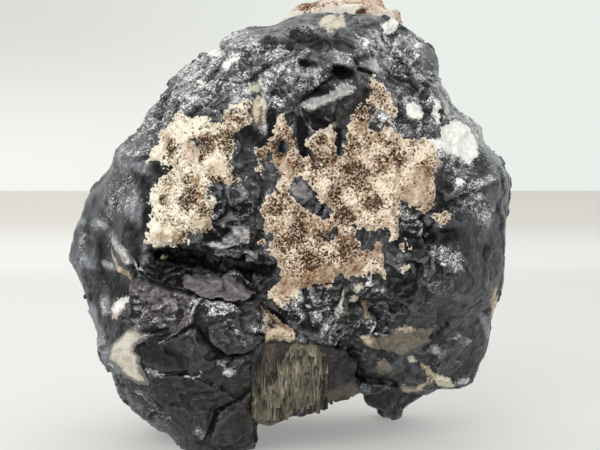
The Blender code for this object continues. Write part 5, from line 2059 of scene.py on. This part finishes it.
LEFT = Crust(
    node="left_crust",
    name="cream_crust",
    outline=(
        (172, 119), (180, 114), (192, 118), (208, 121), (222, 124), (231, 104), (248, 103), (249, 124),
        (238, 133), (237, 150), (232, 160), (232, 173), (243, 178), (242, 185), (222, 182), (211, 189),
        (213, 206), (212, 222), (203, 232), (190, 238), (178, 246), (152, 246), (147, 236), (151, 218),
        (151, 194), (160, 180), (174, 175), (175, 165), (160, 166), (147, 162), (148, 150), (160, 145),
        (160, 134), (170, 127),
    ),
    porosity=0.36,
    windows=(((193, 131), (195, 132), (198, 141), (197, 145), (194, 139)),),
    stains=(
        ((188, 198), 11.0), ((236, 116), 8.0), ((174, 146), 7.0), ((186, 180), 6.0), ((238, 179), 8.0),
        ((204, 210), 8.0), ((229, 142), 12.0), ((164, 200), 6.0), ((194, 236), 9.0), ((206, 146), 10.0),
        ((203, 158), 6.0), ((216, 180), 7.0),
    ),
    smooth_parts=(((218, 168), 10.0), ((155, 158), 6.0), ((160, 236), 8.0)),
    light_parts=(
        ((186, 126), 16.0), ((156, 205), 9.0), ((160, 155), 10.0), ((158, 232), 16.0), ((242, 106), 9.0),
        ((180, 220), 16.0),
    ),
    islands=(((190, 216), (212, 212), (211, 228), (201, 238), (188, 243)),),
    seed=202,
)
LOWER = Crust(
    node="lower_crust",
    name="buff_crust",
    outline=(
        (265, 308), (271, 315), (285, 325), (298, 333), (294, 339), (289, 344), (280, 341), (274, 343),
        (264, 347), (265, 330),
    ),
    porosity=0.32,
    stains=(((272, 325), 5.0),),
    light_parts=(((288, 335), 8.0),),
    ragged=4.0,
    thickness=0.5,
    seed=303,
)
SEAM = Crust(
    node="calcite_seam",
    name="pale_seam",
    outline=(
        (136, 323), (126, 330), (116, 341), (108, 349), (107, 358), (115, 370), (125, 379), (136, 385),
        (148, 387), (147, 380), (141, 372), (138, 364), (140, 358), (133, 352), (136, 346), (146, 340),
        (154, 335), (142, 332),
    ),
    weave=Weave.WAXY,
    light_parts=(((122, 345), 13.0), ((148, 336), 6.0)),
    ragged=3.0,
    thickness=0.5,
    # darker towards the edge: painted shade round the bulge
    edge_light=-0.85,
    seed=404,
)

TAN = CrustFinish("tan_crust", (0.98, 0.86, 0.69), (0.54, 0.40, 0.285), (0.24, 0.115, 0.042))
CREAM = CrustFinish("cream_crust", (1.0, 0.94, 0.79), (0.64, 0.50, 0.36), (0.29, 0.145, 0.052))
BUFF = CrustFinish("buff_crust", (0.76, 0.62, 0.46), (0.52, 0.40, 0.28), (0.16, 0.09, 0.05))
PINK = CrustFinish("pink_crust", (1.0, 0.94, 0.82), (0.78, 0.60, 0.48), (0.32, 0.18, 0.10))


def main() -> None:
    """Builds the specimen and its surroundings."""
    logging.basicConfig(level=logging.INFO, format="%(relativeCreated)7d %(message)s")
    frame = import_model()
    nodes = frame["nodes"]
    shared = SharedGroups(edge=ragged_edge_group(), frost_and_sheen=frost_and_sheen_group(), hackle=hackle_group())
    Surroundings().build()
    mass = IlvaiteMass()
    mass.build(nodes["ilvaite_mass"], IlvaiteFinish().material(shared))
    CENTRE.build(mass.skin, TAN.material())
    LEFT.build(mass.skin, CREAM.material())
    LOWER.build(mass.skin, BUFF.material())
    SEAM.build(mass.skin, SeamFinish().material())
    TopCrust().build(nodes["top_crust"], PINK.material())
    FibrousBand().build(nodes["fibrous_band"], FibreFinish().material(shared))


if __name__ == "__main__":
    main()
